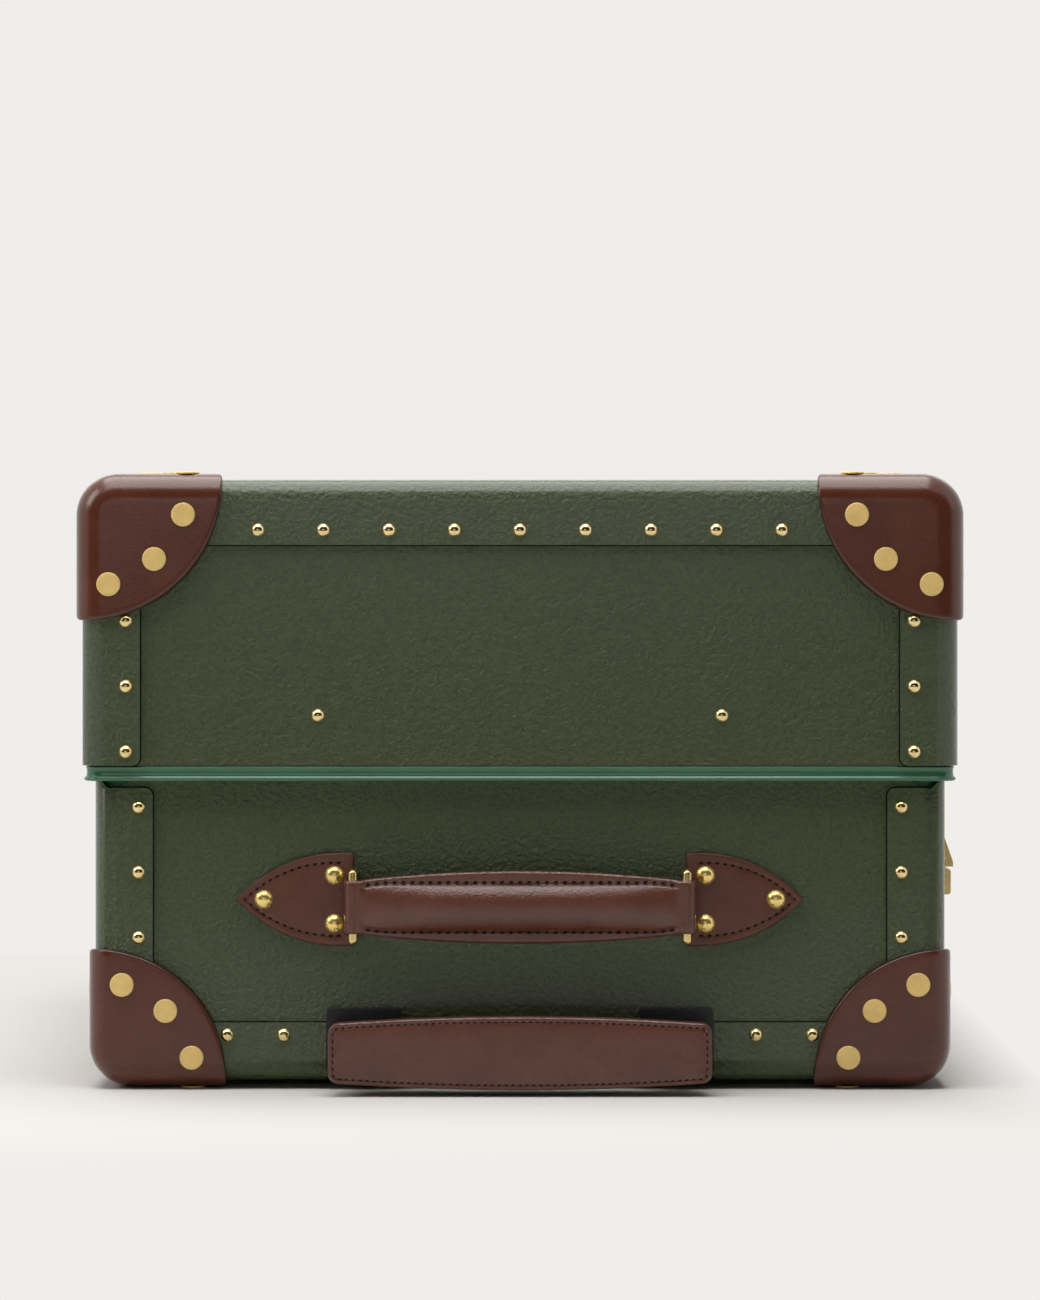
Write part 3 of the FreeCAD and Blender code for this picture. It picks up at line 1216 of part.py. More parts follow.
make_base_shell()
make_lid_shell()
make_end_panels()
make_rim()
make_linings()
make_corners()
make_panel_studs()
make_chapes()
make_rings()
make_carry_grip()
make_fixed_trolley()
make_sliding_tubes()
make_trolley_grip()
make_hinges()
make_latch_bodies()
make_bolts()
make_hasps()
make_straps()
make_casters()
check_and_write()
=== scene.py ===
"""Looks of a spinner suitcase of folded fibreboard with leather corners, lying on its back panel."""

import json
import math

import bmesh
import bpy
import numpy as np
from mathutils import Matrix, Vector


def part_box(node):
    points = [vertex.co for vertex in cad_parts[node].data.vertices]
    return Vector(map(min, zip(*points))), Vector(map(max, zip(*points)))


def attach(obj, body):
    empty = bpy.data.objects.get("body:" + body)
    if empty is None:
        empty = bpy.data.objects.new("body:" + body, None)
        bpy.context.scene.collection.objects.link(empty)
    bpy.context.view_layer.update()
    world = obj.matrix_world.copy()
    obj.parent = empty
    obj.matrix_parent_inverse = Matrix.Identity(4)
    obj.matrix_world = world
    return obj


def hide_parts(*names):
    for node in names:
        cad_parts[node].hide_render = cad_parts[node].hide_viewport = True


MM = 0.001
SIGNS = (-1, 1)

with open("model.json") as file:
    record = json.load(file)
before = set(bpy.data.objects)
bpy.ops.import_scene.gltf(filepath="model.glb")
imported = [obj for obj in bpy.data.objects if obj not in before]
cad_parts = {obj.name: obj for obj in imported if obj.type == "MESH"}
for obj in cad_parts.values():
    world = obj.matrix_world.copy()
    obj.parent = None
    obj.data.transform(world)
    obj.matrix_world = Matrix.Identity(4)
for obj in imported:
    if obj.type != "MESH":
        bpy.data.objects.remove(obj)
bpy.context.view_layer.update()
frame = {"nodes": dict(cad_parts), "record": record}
nodes = frame["nodes"]


def box_of(node):
    """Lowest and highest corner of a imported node, in millimetres."""
    low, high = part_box(node)
    return np.array(low) / MM, np.array(high) / MM


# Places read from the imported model, and radii and thickness of the shell, in millimetres
lid_low, lid_high = box_of("lid_shell")
base_low, base_high = box_of("base_shell")
case_middle = (np.minimum(lid_low, base_low) + np.maximum(lid_high, base_high)) / 2
LONG_EDGE = 18
END_EDGE = 11
BOARD = 2


# Procedural materials: texture scales are per metre, bump depths in millimetres

class Shade:
    """A material whose nodes hang off one Principled shader and read the piece's own coordinates."""

    def __init__(self, name, colour, **sockets):
        self.material = bpy.data.materials.new(name)
        self.material.use_nodes = True
        self.tree = self.material.node_tree
        self.shader = self.tree.nodes["Principled BSDF"]
        self.place = self.node("ShaderNodeTexCoord", {}).outputs["Object"]
        self.normal = None
        self.put("Base Color", (*colour, 1))
        for socket, value in sockets.items():
            self.put(socket.replace("_", " ").title().replace("Ior", "IOR"), value)

    def put(self, socket, value):
        target = self.shader.inputs[socket]
        if isinstance(value, bpy.types.NodeSocket):
            self.tree.links.new(value, target)
        else:
            target.default_value = value

    def node(self, kind, inputs, **settings):
        made = self.tree.nodes.new(kind)
        for name, value in settings.items():
            setattr(made, name, value)
        for name, value in inputs.items():
            if isinstance(value, bpy.types.NodeSocket):
                self.tree.links.new(value, made.inputs[name])
            else:
                made.inputs[name].default_value = value
        return made

    def stretched(self, scale):
        mapping = self.node("ShaderNodeMapping", {"Vector": self.place, "Scale": scale})
        return mapping.outputs["Vector"]

    def noise(self, scale, detail=2, roughness=0.5, distortion=0, place=None):
        inputs = {"Vector": place or self.place, "Scale": scale, "Detail": detail, "Roughness": roughness,
                  "Distortion": distortion}
        return self.node("ShaderNodeTexNoise", inputs).outputs["Fac"]

    def cells(self, scale):
        return self.node("ShaderNodeTexVoronoi", {"Vector": self.place, "Scale": scale}).outputs["Distance"]

    def ramp(self, value, low, high, to_low=0, to_high=1):
        inputs = {"Value": value, "From Min": low, "From Max": high, "To Min": to_low, "To Max": to_high}
        return self.node("ShaderNodeMapRange", inputs).outputs["Result"]

    def math(self, operation, *values):
        made = self.node("ShaderNodeMath", dict(enumerate(values)), operation=operation)
        return made.outputs["Value"]

    def mix(self, factor, first, second):
        made = self.node("ShaderNodeMix", {"Factor": factor}, data_type="RGBA")
        for socket, value in ((made.inputs[6], first), (made.inputs[7], second)):
            if isinstance(value, bpy.types.NodeSocket):
                self.tree.links.new(value, socket)
            else:
                socket.default_value = (*value, 1)
        return made.outputs[2]

    def bump(self, height, depth, strength, coated=True):
        """Adds relief to the surface, and to the clear coat over it if that follows."""
        inputs = {"Height": height, "Distance": depth * MM, "Strength": strength}
        if self.normal:
            inputs["Normal"] = self.normal
        self.normal = self.node("ShaderNodeBump", inputs).outputs["Normal"]
        self.put("Normal", self.normal)
        if coated:
            self.put("Coat Normal", self.normal)

    def attribute(self, name):
        return self.node("ShaderNodeAttribute", {}, attribute_name=name).outputs["Fac"]


def darker(colour, share):
    return tuple(channel * share for channel in colour)


def fibreboard():
    """Pebbled board under a clear lacquer smooth over the pebbles, with painted shade and glints."""
    shade = Shade("fibreboard_green", (0.05, 0.072, 0.023), specular_ior_level=0.36, coat_weight=0.6,
                  coat_roughness=0.18)
    low_green, high_green = (0.052, 0.078, 0.022), (0.057, 0.084, 0.025)
    # Painted shade: a darker green laid into the pebbles' valleys
    painted_valley_shade_green = (0.025, 0.039, 0.0107)
    # Painted glints: a paler green laid on the grain where it is glossiest
    painted_glint_green = (0.084, 0.117, 0.047)
    pebbles = shade.noise(430, detail=4, roughness=0.6)
    grain = shade.noise(1500)
    clouds = shade.noise(22, detail=4, roughness=0.6)
    tone = shade.mix(shade.ramp(clouds, 0.3, 0.7), low_green, high_green)
    # Paints shade into the pebbles' valleys
    tone = shade.mix(shade.ramp(pebbles, 0.6, 0.36, to_high=0.4), tone, painted_valley_shade_green)
    # Paints glints on the grain
    shade.put("Base Color", shade.mix(shade.ramp(grain, 0.56, 0.8, to_high=0.3), tone, painted_glint_green))
    shade.put("Roughness", shade.ramp(grain, 0.3, 0.7, to_low=0.25, to_high=0.18))
    shade.bump(pebbles, depth=2.5, strength=0.9, coated=False)
    shade.bump(grain, depth=0.24, strength=0.8, coated=False)
    return shade.material


# A near-black finish for the strip that paints the shadow under the turned-over board edges
def painted_shadow_line():
    shade = Shade("flange_painted_shadow_line", (0.004, 0.004, 0.003), roughness=0.85, specular_ior_level=0.15)
    shadow_line_mottle = shade.noise(900, detail=3, roughness=0.6)
    shade.put("Base Color", shade.mix(shadow_line_mottle, (0.002, 0.002, 0.001), (0.008, 0.008, 0.005)))
    shade.bump(shadow_line_mottle, depth=0.1, strength=0.5)
    return shade.material


def rim_lacquer():
    shade = Shade("rim_green_gloss", (0.034, 0.146, 0.075), roughness=0.16, specular_ior_level=0.5,
                  coat_weight=0.3)
    swirl = shade.ramp(shade.noise(35, detail=3), 0.3, 0.7)
    shade.put("Base Color", shade.mix(swirl, (0.03, 0.132, 0.066), (0.038, 0.16, 0.084)))
    shade.bump(shade.noise(160), depth=0.05, strength=0.4)
    return shade.material


def leather(name, dark, light, roughness, grain, coat):
    """Grained leather, darker where the mesh's edge attribute marks a cut."""
    shade = Shade(name, dark, roughness=roughness, specular_ior_level=0.15, coat_weight=coat,
                  coat_roughness=0.17)
    clouds = shade.noise(45, detail=4, roughness=0.6)
    tone = shade.mix(shade.ramp(clouds, 0.32, 0.68), dark, light)
    shade.put("Base Color", shade.mix(shade.attribute("edge"), tone, darker(dark, 0.4)))
    pores = shade.cells(1300)
    creases = shade.noise(750, detail=3, roughness=0.6, distortion=0.6)
    shade.put("Roughness", shade.ramp(creases, 0.25, 0.75, roughness - 0.07, roughness + 0.09))
    shade.bump(shade.noise(70), depth=0.35, strength=0.3)
    shade.bump(creases, depth=0.12 * grain, strength=0.5)
    shade.bump(pores, depth=0.1 * grain, strength=0.45)
    return shade.material


def thread():
    shade = Shade("thread_dark", (0.01, 0.006, 0.004), roughness=0.75, specular_ior_level=0.15)
    twist = shade.node("ShaderNodeTexWave", {"Vector": shade.place, "Scale": 900, "Distortion": 2})
    shade.put("Base Color", shade.mix(twist.outputs["Fac"], (0.004, 0.003, 0.002), (0.016, 0.01, 0.007)))
    shade.bump(twist.outputs["Fac"], depth=0.08, strength=0.6)
    return shade.material


def brass(name, roughness, colour=(0.83, 0.63, 0.27), brushed=0.0, metallic=1):
    shade = Shade(name, colour, metallic=metallic, roughness=roughness)
    tarnish = shade.noise(120, detail=4, roughness=0.6)
    shade.put("Base Color", shade.mix(shade.ramp(tarnish, 0.35, 0.7), colour, darker(colour, 0.86)))
    shade.put("Roughness", shade.ramp(shade.noise(700), 0.3, 0.7, roughness * 0.8, roughness * 1.25))
    if brushed:
        strokes = shade.noise(1500, place=shade.stretched((1, 0.08, 1)))
        shade.bump(strokes, depth=0.03, strength=brushed)
    return shade.material


def moulded_plastic():
    shade = Shade("plastic_black", (0.008, 0.008, 0.009), roughness=0.28, specular_ior_level=0.4)
    grain = shade.noise(1400)
    clouds = shade.noise(60, detail=3)
    shade.put("Base Color", shade.mix(clouds, (0.006, 0.006, 0.007), (0.012, 0.012, 0.013)))
    shade.put("Roughness", shade.ramp(grain, 0.3, 0.7, to_low=0.24, to_high=0.36))
    shade.bump(grain, depth=0.05, strength=0.5)
    return shade.material


def drawn_metal(name, colour, roughness):
    shade = Shade(name, colour, metallic=1, roughness=roughness)
    lines = shade.noise(900, detail=3, place=shade.stretched((1, 0.02, 1)))
    shade.put("Base Color", shade.mix(lines, darker(colour, 0.8), colour))
    shade.put("Roughness", shade.ramp(lines, 0.3, 0.7, roughness - 0.08, roughness + 0.1))
    shade.bump(lines, depth=0.02, strength=0.4)
    return shade.material


def woven_lining():
    shade = Shade("lining_weave", (0.55, 0.46, 0.32), roughness=0.85, sheen_weight=0.25)
    shadow_tan, low_tan, high_tan = (0.33, 0.26, 0.17), (0.5, 0.41, 0.28), (0.6, 0.52, 0.38)
    threads = []
    for axis in ("X", "Y", "Z"):
        inputs = {"Vector": shade.place, "Scale": 220, "Distortion": 0.4, "Detail": 1}
        threads.append(shade.node("ShaderNodeTexWave", inputs, bands_direction=axis).outputs["Fac"])
    weave = shade.math("MULTIPLY", shade.math("ADD", threads[0], threads[1]), threads[2])
    slub = shade.noise(300, detail=3, place=shade.stretched((1, 0.2, 0.2)))
    tone = shade.mix(shade.ramp(slub, 0.35, 0.7), low_tan, high_tan)
    shade.put("Base Color", shade.mix(shade.ramp(weave, 0, 1.6, to_low=0.35, to_high=0), tone, shadow_tan))
    shade.bump(weave, depth=0.25, strength=0.5)
    shade.bump(shade.noise(40), depth=0.6, strength=0.25)
    return shade.material


def wheel_rubber():
    shade = Shade("wheel_rubber", (0.02, 0.02, 0.021), roughness=0.6)
    dust = shade.noise(90, detail=4, roughness=0.65)
    tone = shade.mix(shade.ramp(dust, 0.45, 0.75), (0.016, 0.016, 0.017), (0.045, 0.043, 0.04))
    shade.put("Base Color", tone)
    shade.put("Roughness", shade.ramp(dust, 0.3, 0.7, to_low=0.5, to_high=0.72))
    shade.bump(shade.noise(800), depth=0.1, strength=0.4)
    return shade.material


FIBREBOARD = fibreboard()
PAINTED_SHADOW_LINE = painted_shadow_line()
RIM = rim_lacquer()
CORNER_LEATHER = leather("leather_corner", (0.094, 0.023, 0.011), (0.118, 0.033, 0.018),
                         roughness=0.3, grain=0.6, coat=0.7)
STRAP_LEATHER = leather("leather_handle", (0.102, 0.033, 0.019), (0.13, 0.047, 0.028),
                        roughness=0.34, grain=3, coat=0.42)
GRIP_LEATHER = leather("leather_grip", (0.105, 0.03, 0.016), (0.134, 0.044, 0.025),
                       roughness=0.34, grain=3, coat=0.95)
THREAD = thread()
SATIN_BRASS = brass("brass_satin", 0.5, (1.0, 0.71, 0.25), brushed=0.3, metallic=0.07)
DOME_BRASS = brass("brass_polished", 0.16, (0.9, 0.71, 0.34))
GILT_BRASS = brass("brass_gilt", 0.24, (1.0, 0.75, 0.26), metallic=0.8)
HARDWARE_BRASS = brass("brass_hardware", 0.22)
PLASTIC = moulded_plastic()
ALUMINIUM = drawn_metal("aluminium_drawn", (0.75, 0.75, 0.76), 0.32)
STEEL = drawn_metal("steel_turned", (0.58, 0.58, 0.6), 0.28)
LINING = woven_lining()
RUBBER = wheel_rubber()


# Meshes and pieces

SAME_PLACE = 1e-6


def add_object(name, data):
    """Puts a mesh, a lamp or a camera into the scene."""
    made = bpy.data.objects.new(name, data)
    bpy.context.scene.collection.objects.link(made)
    return made


def grid(rows, columns, closed_rows=False, closed_columns=False):
    """Faces of a lattice whose points are listed row by row."""
    faces = []
    for row in range(rows if closed_rows else rows - 1):
        after = (row + 1) % rows * columns
        for column in range(columns if closed_columns else columns - 1):
            beside = (column + 1) % columns
            faces.append((row * columns + column, row * columns + beside, after + beside, after + column))
    return faces


def skin(rows, first_cap=False, last_cap=False, closed_rows=False):
    """Points and faces through rows of points that each close on themselves."""
    count = len(rows[0])
    faces = grid(len(rows), count, closed_rows, closed_columns=True)
    if first_cap:
        faces.append(tuple(range(count)))
    if last_cap:
        faces.append(tuple((len(rows) - 1) * count + np.arange(count)))
    return np.concatenate(rows), faces


def standing(outline, depth, height, sign=1):
    """Points of an upright outline of x and z, moved to a depth along the case and to a height."""
    return np.stack((sign * outline[:, 0], np.broadcast_to(depth, len(outline)), height + outline[:, 1]), -1)


def piece(name, points, faces, shade, body, slot, replaces=(), edge=None, sharp=40):
    """A mesh in millimetres that rides on a body and may stand for CAD nodes."""
    mesh = bpy.data.meshes.new(name)
    places = (np.asarray(points, float) * MM).tolist()
    mesh.from_pydata(places, [], [tuple(map(int, face)) for face in faces])
    work = bmesh.new()
    work.from_mesh(mesh)
    bmesh.ops.recalc_face_normals(work, faces=work.faces)
    work.to_mesh(mesh)
    work.free()
    mesh.polygons.foreach_set("use_smooth", [True] * len(mesh.polygons))
    mesh.set_sharp_from_angle(angle=math.radians(sharp))
    if edge is not None:
        marks = mesh.attributes.new("edge", "FLOAT", "POINT")
        marks.data.foreach_set("value", np.asarray(edge, np.float32))
    mesh.materials.append(shade)
    made = add_object(name, mesh)
    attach(made, body)
    if replaces:
        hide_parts(*replaces)
    return made


class Parts:
    """Several lattices gathered into one mesh."""

    def __init__(self):
        self.points = []
        self.faces = []
        self.edges = []

    def add(self, points, faces, edge=0.0):
        start = len(self.points)
        self.points += [tuple(point) for point in np.asarray(points, float)]
        self.faces += [tuple(start + index for index in face) for face in faces]
        self.edges += list(np.broadcast_to(np.asarray(edge, float), len(points)))

    def piece(self, name, shade, body, slot, replaces=(), sharp=40):
        return piece(name, self.points, self.faces, shade, body, slot, replaces, self.edges, sharp)


def islands(node):
    """Lowest and highest corners of the separate solids in a CAD node."""
    work = bmesh.new()
    work.from_mesh(nodes[node].data)
    bmesh.ops.remove_doubles(work, verts=work.verts, dist=SAME_PLACE)
    boxes = []
    seen = set()
    for first in work.verts:
        if first in seen:
            continue
        seen.add(first)
        found = []
        waiting = [first]
        while waiting:
            vertex = waiting.pop()
            found.append(vertex.co[:])
            for link in vertex.link_edges:
                other = link.other_vert(vertex)
                if other not in seen:
                    seen.add(other)
                    waiting.append(other)
        places = np.array(found) / MM
        boxes.append((places.min(0), places.max(0)))
    work.free()
    return boxes


def seats(node):
    """Place and outward direction of each rivet head in a CAD node."""
    found = []
    for low, high in islands(node):
        axis = int(np.argmin(high - low))
        outward = np.zeros(3)
        outward[axis] = 1 if (low + high)[axis] / 2 > case_middle[axis] else -1
        place = (low + high) / 2
        place[axis] = low[axis] if outward[axis] > 0 else high[axis]
        found.append((place, outward))
    return found


def cross_axes(outward):
    side = np.cross(outward, (0, 0, 1) if abs(outward[2]) < 0.9 else (1, 0, 0))
    side = side / np.linalg.norm(side)
    return side, np.cross(outward, side)


# Turned rivet heads

ROUND_STEPS = 40
DISC_RADIUS = 5.9
DISC_HEIGHT = 1
PANEL_DOME = 3.3
CHAPE_DOME = 4.7
# Shares of a head's radius and height, from its foot to its middle
DISC_PROFILE = [
    (1, 0), (1, 0.35), (0.985, 0.62), (0.95, 0.84), (0.9, 0.95), (0.84, 0.985), (0.5, 1), (0, 1),
]
# A dome is a low straight foot under part of a sphere, whose middle lies below the foot's top
DOME_FOOT = 0.05
CAP_RADIUS = 1.1165
CAP_MIDDLE = 0.4965
CAP_ANGLE = 61
DOME_PROFILE = [(1.0, 0.0), (1.0, DOME_FOOT)] + [
    (CAP_RADIUS * math.sin(turn), CAP_RADIUS * math.cos(turn) - CAP_MIDDLE + DOME_FOOT)
    for turn in np.radians(np.linspace(CAP_ANGLE, 0, 14))
]


def turned(place, outward, radius, height, profile):
    side, across = cross_axes(outward)
    angles = np.linspace(0, 2 * math.pi, ROUND_STEPS, endpoint=False)
    ring = np.outer(np.cos(angles), side) + np.outer(np.sin(angles), across)
    return skin([place + outward * height * rise + ring * radius * reach for reach, rise in profile])


def make_rivets():
    plans = [
        ("lid_corner_rivets", "lid", DISC_PROFILE, SATIN_BRASS, DISC_RADIUS, DISC_HEIGHT),
        ("base_corner_rivets", "base", DISC_PROFILE, SATIN_BRASS, DISC_RADIUS, DISC_HEIGHT),
        ("base_foot_rivets", "base", DISC_PROFILE, SATIN_BRASS, DISC_RADIUS, DISC_HEIGHT),
        ("lid_panel_rivets", "lid", DOME_PROFILE, DOME_BRASS, PANEL_DOME, PANEL_DOME),
        ("base_panel_rivets", "base", DOME_PROFILE, DOME_BRASS, PANEL_DOME, PANEL_DOME),
        ("chape_rivets", "base", DOME_PROFILE, GILT_BRASS, CHAPE_DOME, CHAPE_DOME),
    ]
    for node, body, profile, shade, radius, height in plans:
        heads = Parts()
        for place, outward in seats(node):
            heads.add(*turned(place, outward, radius, height, profile))
        heads.piece(f"{node}_turned", shade, body, "brass", [node], sharp=50)


# Leather corners, drawn over the rounded shell from the corner outwards

LEATHER = 3
GLUE = 0.1
LID_REACH = 70
BASE_REACH = 65.7
FAN = 200
FAN_ROWS = np.linspace(0.01, 0.97, 46)
# Rays start inside the shell at a share of the reach and run at most a few times as far
RAY_START = 0.9
RAY_LIMIT = 4
WIDEST_TILT = 0.75 * math.pi
SKIN_HALVINGS = 40
TILT_HALVINGS = 36
# Distance from the cut edge and how far the leather has dropped there, and the drop that is fully dark
LEATHER_EDGE = [(6, 0), (3.4, 0), (1.9, 0.02), (1.2, 0.1), (0.75, 0.24), (0.4, 0.48), (0.15, 0.8), (0, 1.2)]
DARK_DROP = 0.8


def shell_distance(points):
    """Distance outside the shell, from inward distances to its side, end and closed planes."""
    side, end, closed = points[..., 0], points[..., 1], points[..., 2]
    first = np.stack((LONG_EDGE - side, LONG_EDGE - closed), -1)
    profile = np.linalg.norm(np.maximum(first, 0), axis=-1) + np.minimum(first.max(-1), 0) - LONG_EDGE
    second = np.stack((profile + END_EDGE, END_EDGE - end), -1)
    return np.linalg.norm(np.maximum(second, 0), axis=-1) + np.minimum(second.max(-1), 0) - END_EDGE


def reach_skin(start, directions, offset):
    """Points where rays from inside the shell meet its skin, moved out by an offset."""
    low = np.zeros(len(directions))
    high = np.full(len(directions), RAY_LIMIT * start[0])
    for _ in range(SKIN_HALVINGS):
        middle = (low + high) / 2
        outside = shell_distance(start + directions * middle[:, None]) > offset
        high = np.where(outside, middle, high)
        low = np.where(outside, low, middle)
    return start + directions * high[:, None]


def corner_fan(reach):
    """Leather of one corner as inward distances from its three planes."""
    start = np.full(3, reach * RAY_START)
    axis = -np.ones(3) / math.sqrt(3)
    side = np.array((1, -1, 0)) / math.sqrt(2)
    across = np.cross(axis, side)
    turns = np.linspace(0, 2 * math.pi, FAN, endpoint=False)
    spokes = np.outer(np.cos(turns), side) + np.outer(np.sin(turns), across)

    def rays(tilt):
        return axis * np.cos(tilt)[:, None] + spokes * np.sin(tilt)[:, None]

    def tilt_at(distance):
        low = np.zeros(FAN)
        high = np.full(FAN, WIDEST_TILT)
        for _ in range(TILT_HALVINGS):
            middle = (low + high) / 2
            far = np.linalg.norm(reach_skin(start, rays(middle), LEATHER), axis=1) > distance
            high = np.where(far, middle, high)
            low = np.where(far, low, middle)
        return high

    inner = tilt_at(reach - LEATHER_EDGE[0][0])
    rows = [reach_skin(start, rays(inner * share), LEATHER) for share in FAN_ROWS]
    edge = [0] * len(rows)
    for distance, drop in LEATHER_EDGE:
        rows.append(reach_skin(start, rays(tilt_at(reach - distance)), LEATHER - drop))
        edge.append(min(1, drop / DARK_DROP))
    rows.append(reach_skin(start, rays(tilt_at(reach)), GLUE))
    edge.append(1)
    return *skin(rows, first_cap=True), np.repeat(edge, FAN)


def make_leather_corners():
    halves = [
        ("lid_leather_corners", "lid", lid_low, lid_high, lid_high[2], 1, LID_REACH),
        ("base_leather_corners", "base", base_low, base_high, base_low[2], -1, BASE_REACH),
    ]
    for node, body, low, high, closed, up, reach in halves:
        fan, faces, edge = corner_fan(reach)
        corners = Parts()
        for sign in SIGNS:
            for end, way in ((low[1], 1), (high[1], -1)):
                places = np.stack((
                    sign * (high[0] - fan[:, 0]),
                    end + way * fan[:, 1],
                    closed - up * fan[:, 2],
                ), -1)
                corners.add(places, faces, edge)
        corners.piece(f"{node}_moulded", CORNER_LEATHER, body, "leather", [node], sharp=60)


# Sewing

STITCH_SECTIONS = 7
STITCH_SIDES = 8
STITCH_SLANT = math.radians(9)
STITCH_END = 0.12
STITCH_FLATNESS = 0.8
# Half the length of line from which its direction is taken
NEARBY = 0.4


def resample(line, pitch, closed):
    """Evenly spaced places along a line, with the direction of the line at each."""
    if closed:
        line = np.concatenate((line, line[:1]))
    steps = np.linalg.norm(np.diff(line, axis=0), axis=1)
    along = np.concatenate(([0], np.cumsum(steps)))
    count = max(2, round(along[-1] / pitch))
    marks = (np.arange(count) + 0.5) * along[-1] / count

    def at(distances):
        return np.stack([np.interp(distances, along, line[:, axis]) for axis in range(3)], -1)

    ways = at(marks + NEARBY) - at(marks - NEARBY)
    return at(marks), ways / np.linalg.norm(ways, axis=1)[:, None]


def sew(parts, line, outward, pitch, length, width, closed=False):
    """Adds one row of raised stitches that lies along a line of points on a surface."""
    angles = np.linspace(-math.pi / 2, math.pi / 2, STITCH_SECTIONS)
    sides = np.linspace(0, 2 * math.pi, STITCH_SIDES, endpoint=False)
    up = np.asarray(outward, float)
    for place, way in zip(*resample(np.asarray(line, float), pitch, closed)):
        flat = np.cross(up, way)
        flat = flat / np.linalg.norm(flat)
        run = way * math.cos(STITCH_SLANT) + flat * math.sin(STITCH_SLANT)
        flat = np.cross(up, run)
        rows = []
        for angle in angles:
            middle = place + run * math.sin(angle) * length / 2
            thick = max(math.cos(angle), STITCH_END) * width / 2
            rows.append([
                middle + flat * math.cos(around) * thick + up * math.sin(around) * thick * STITCH_FLATNESS
                for around in sides
            ])
        parts.add(*skin(rows))


# Tabs that hold the carry handle

CHAPE_EDGE = 82.4
CHAPE_FLAT = 88.9
CHAPE_TIP = 140.4
CHAPE_HALF = 23.2
ARC_STEPS = 26
LEVEL_STEPS = 5
BACK_STEPS = 14
POINT_NARROWING = 0.42
# The raised border and the groove inside it fade out at the tab's straight edge
BORDER_START = 1.8
BORDER_HEIGHT = 3.08
BORDER_FADE = 3
# Distance inside the outline, height of the leather there and how dark its cut edge is
CHAPE_SECTION = [
    (0, 0, 1), (0, 1.5, 1), (0.12, 2.1, 1), (0.4, 2.6, 1 / 3), (0.9, 2.92, 0), (1.7, 3.05, 0), (3.2, 3.05, 0),
    (4.3, 2.92, 0), (5.0, 2.6, 0), (5.4, 2.5, 0), (5.8, 2.6, 0), (6.6, 2.95, 0), (8.2, 3.1, 0), (11, 3.14, 0),
    (15, 3.16, 0), (19, 3.17, 0),
]
CHAPE_SEAM = 5.4
CHAPE_SEAM_HEIGHT = 2.55
SEAM_CLEAR = 0.05
# The leather folded round the ring: its radius, its bend, and shares of the radius at heights along it
FOLD_RADIUS = 4.2
FOLD_TURNS = np.radians(np.linspace(-28, 200, 26))
FOLD_LEVELS = [(-10, 0.82), (-9.8, 0.94), (-9.2, 1), (9.2, 1), (9.8, 0.94), (10, 0.82)]
FOLD_DARK = 0.15
panel_face = box_of("base_handle_end_panel")[0][1]
chape_low, chape_high = box_of("handle_chape_left")
chape_middle = (chape_low[2] + chape_high[2]) / 2


def chape_outline(inset):
    """The tab's outline, moved inwards, for the right-hand tab."""
    rise = ((CHAPE_TIP - CHAPE_FLAT) ** 2 + CHAPE_HALF ** 2) / (2 * CHAPE_HALF)
    radius, drop = rise - inset, rise - CHAPE_HALF
    edge = CHAPE_EDGE + inset
    tip = CHAPE_FLAT + math.sqrt(radius ** 2 - drop ** 2)
    start = max(CHAPE_FLAT, edge)
    first = math.asin((start - CHAPE_FLAT) / radius)
    last = math.asin((tip - CHAPE_FLAT) / radius)
    upper = [(CHAPE_FLAT + radius * math.sin(turn), radius * math.cos(turn) - drop)
             for turn in np.linspace(first, last, ARC_STEPS)]
    if start > edge:
        level = [(x, CHAPE_HALF - inset) for x in np.linspace(edge, start, LEVEL_STEPS + 1)[:-1]]
    else:
        level = [(start, upper[0][1])] * LEVEL_STEPS
    half = level + upper
    back = [(edge, z) for z in np.linspace(-half[0][1], half[0][1], BACK_STEPS)[1:-1]]
    lower = [(x, -z) for x, z in reversed(half[:-1])]
    return np.array(half + lower + back)


def chape_ring(inset):
    """The tab's outline moved inwards by less and less towards its point."""
    shares = (chape_outline(0)[:, 0] - CHAPE_EDGE) / (CHAPE_TIP - CHAPE_EDGE)
    return np.array([chape_outline(inset * (1 - POINT_NARROWING * share))[index]
                     for index, share in enumerate(shares)])


def chape_rows(sign):
    """Rows of the tab's leather, from the panel up its edge and in to its middle."""
    bordered = np.clip((chape_outline(0)[:, 0] - CHAPE_EDGE) / BORDER_FADE, 0, 1)
    rows = []
    for inset, height, _ in CHAPE_SECTION:
        plain = height if inset < BORDER_START else BORDER_HEIGHT
        heights = plain + (height - plain) * bordered
        rows.append(standing(chape_ring(inset), panel_face - heights, chape_middle, sign))
    return rows


def chape_fold(sign):
    """Points and faces of the leather that is folded round the handle's ring."""
    points = []
    for level, share in FOLD_LEVELS:
        for turn in FOLD_TURNS:
            x = CHAPE_EDGE + FOLD_RADIUS * share * math.cos(turn)
            y = panel_face - FOLD_RADIUS - FOLD_RADIUS * share * math.sin(turn)
            points.append((sign * x, y, chape_middle + level))
    return points, grid(len(FOLD_LEVELS), len(FOLD_TURNS))


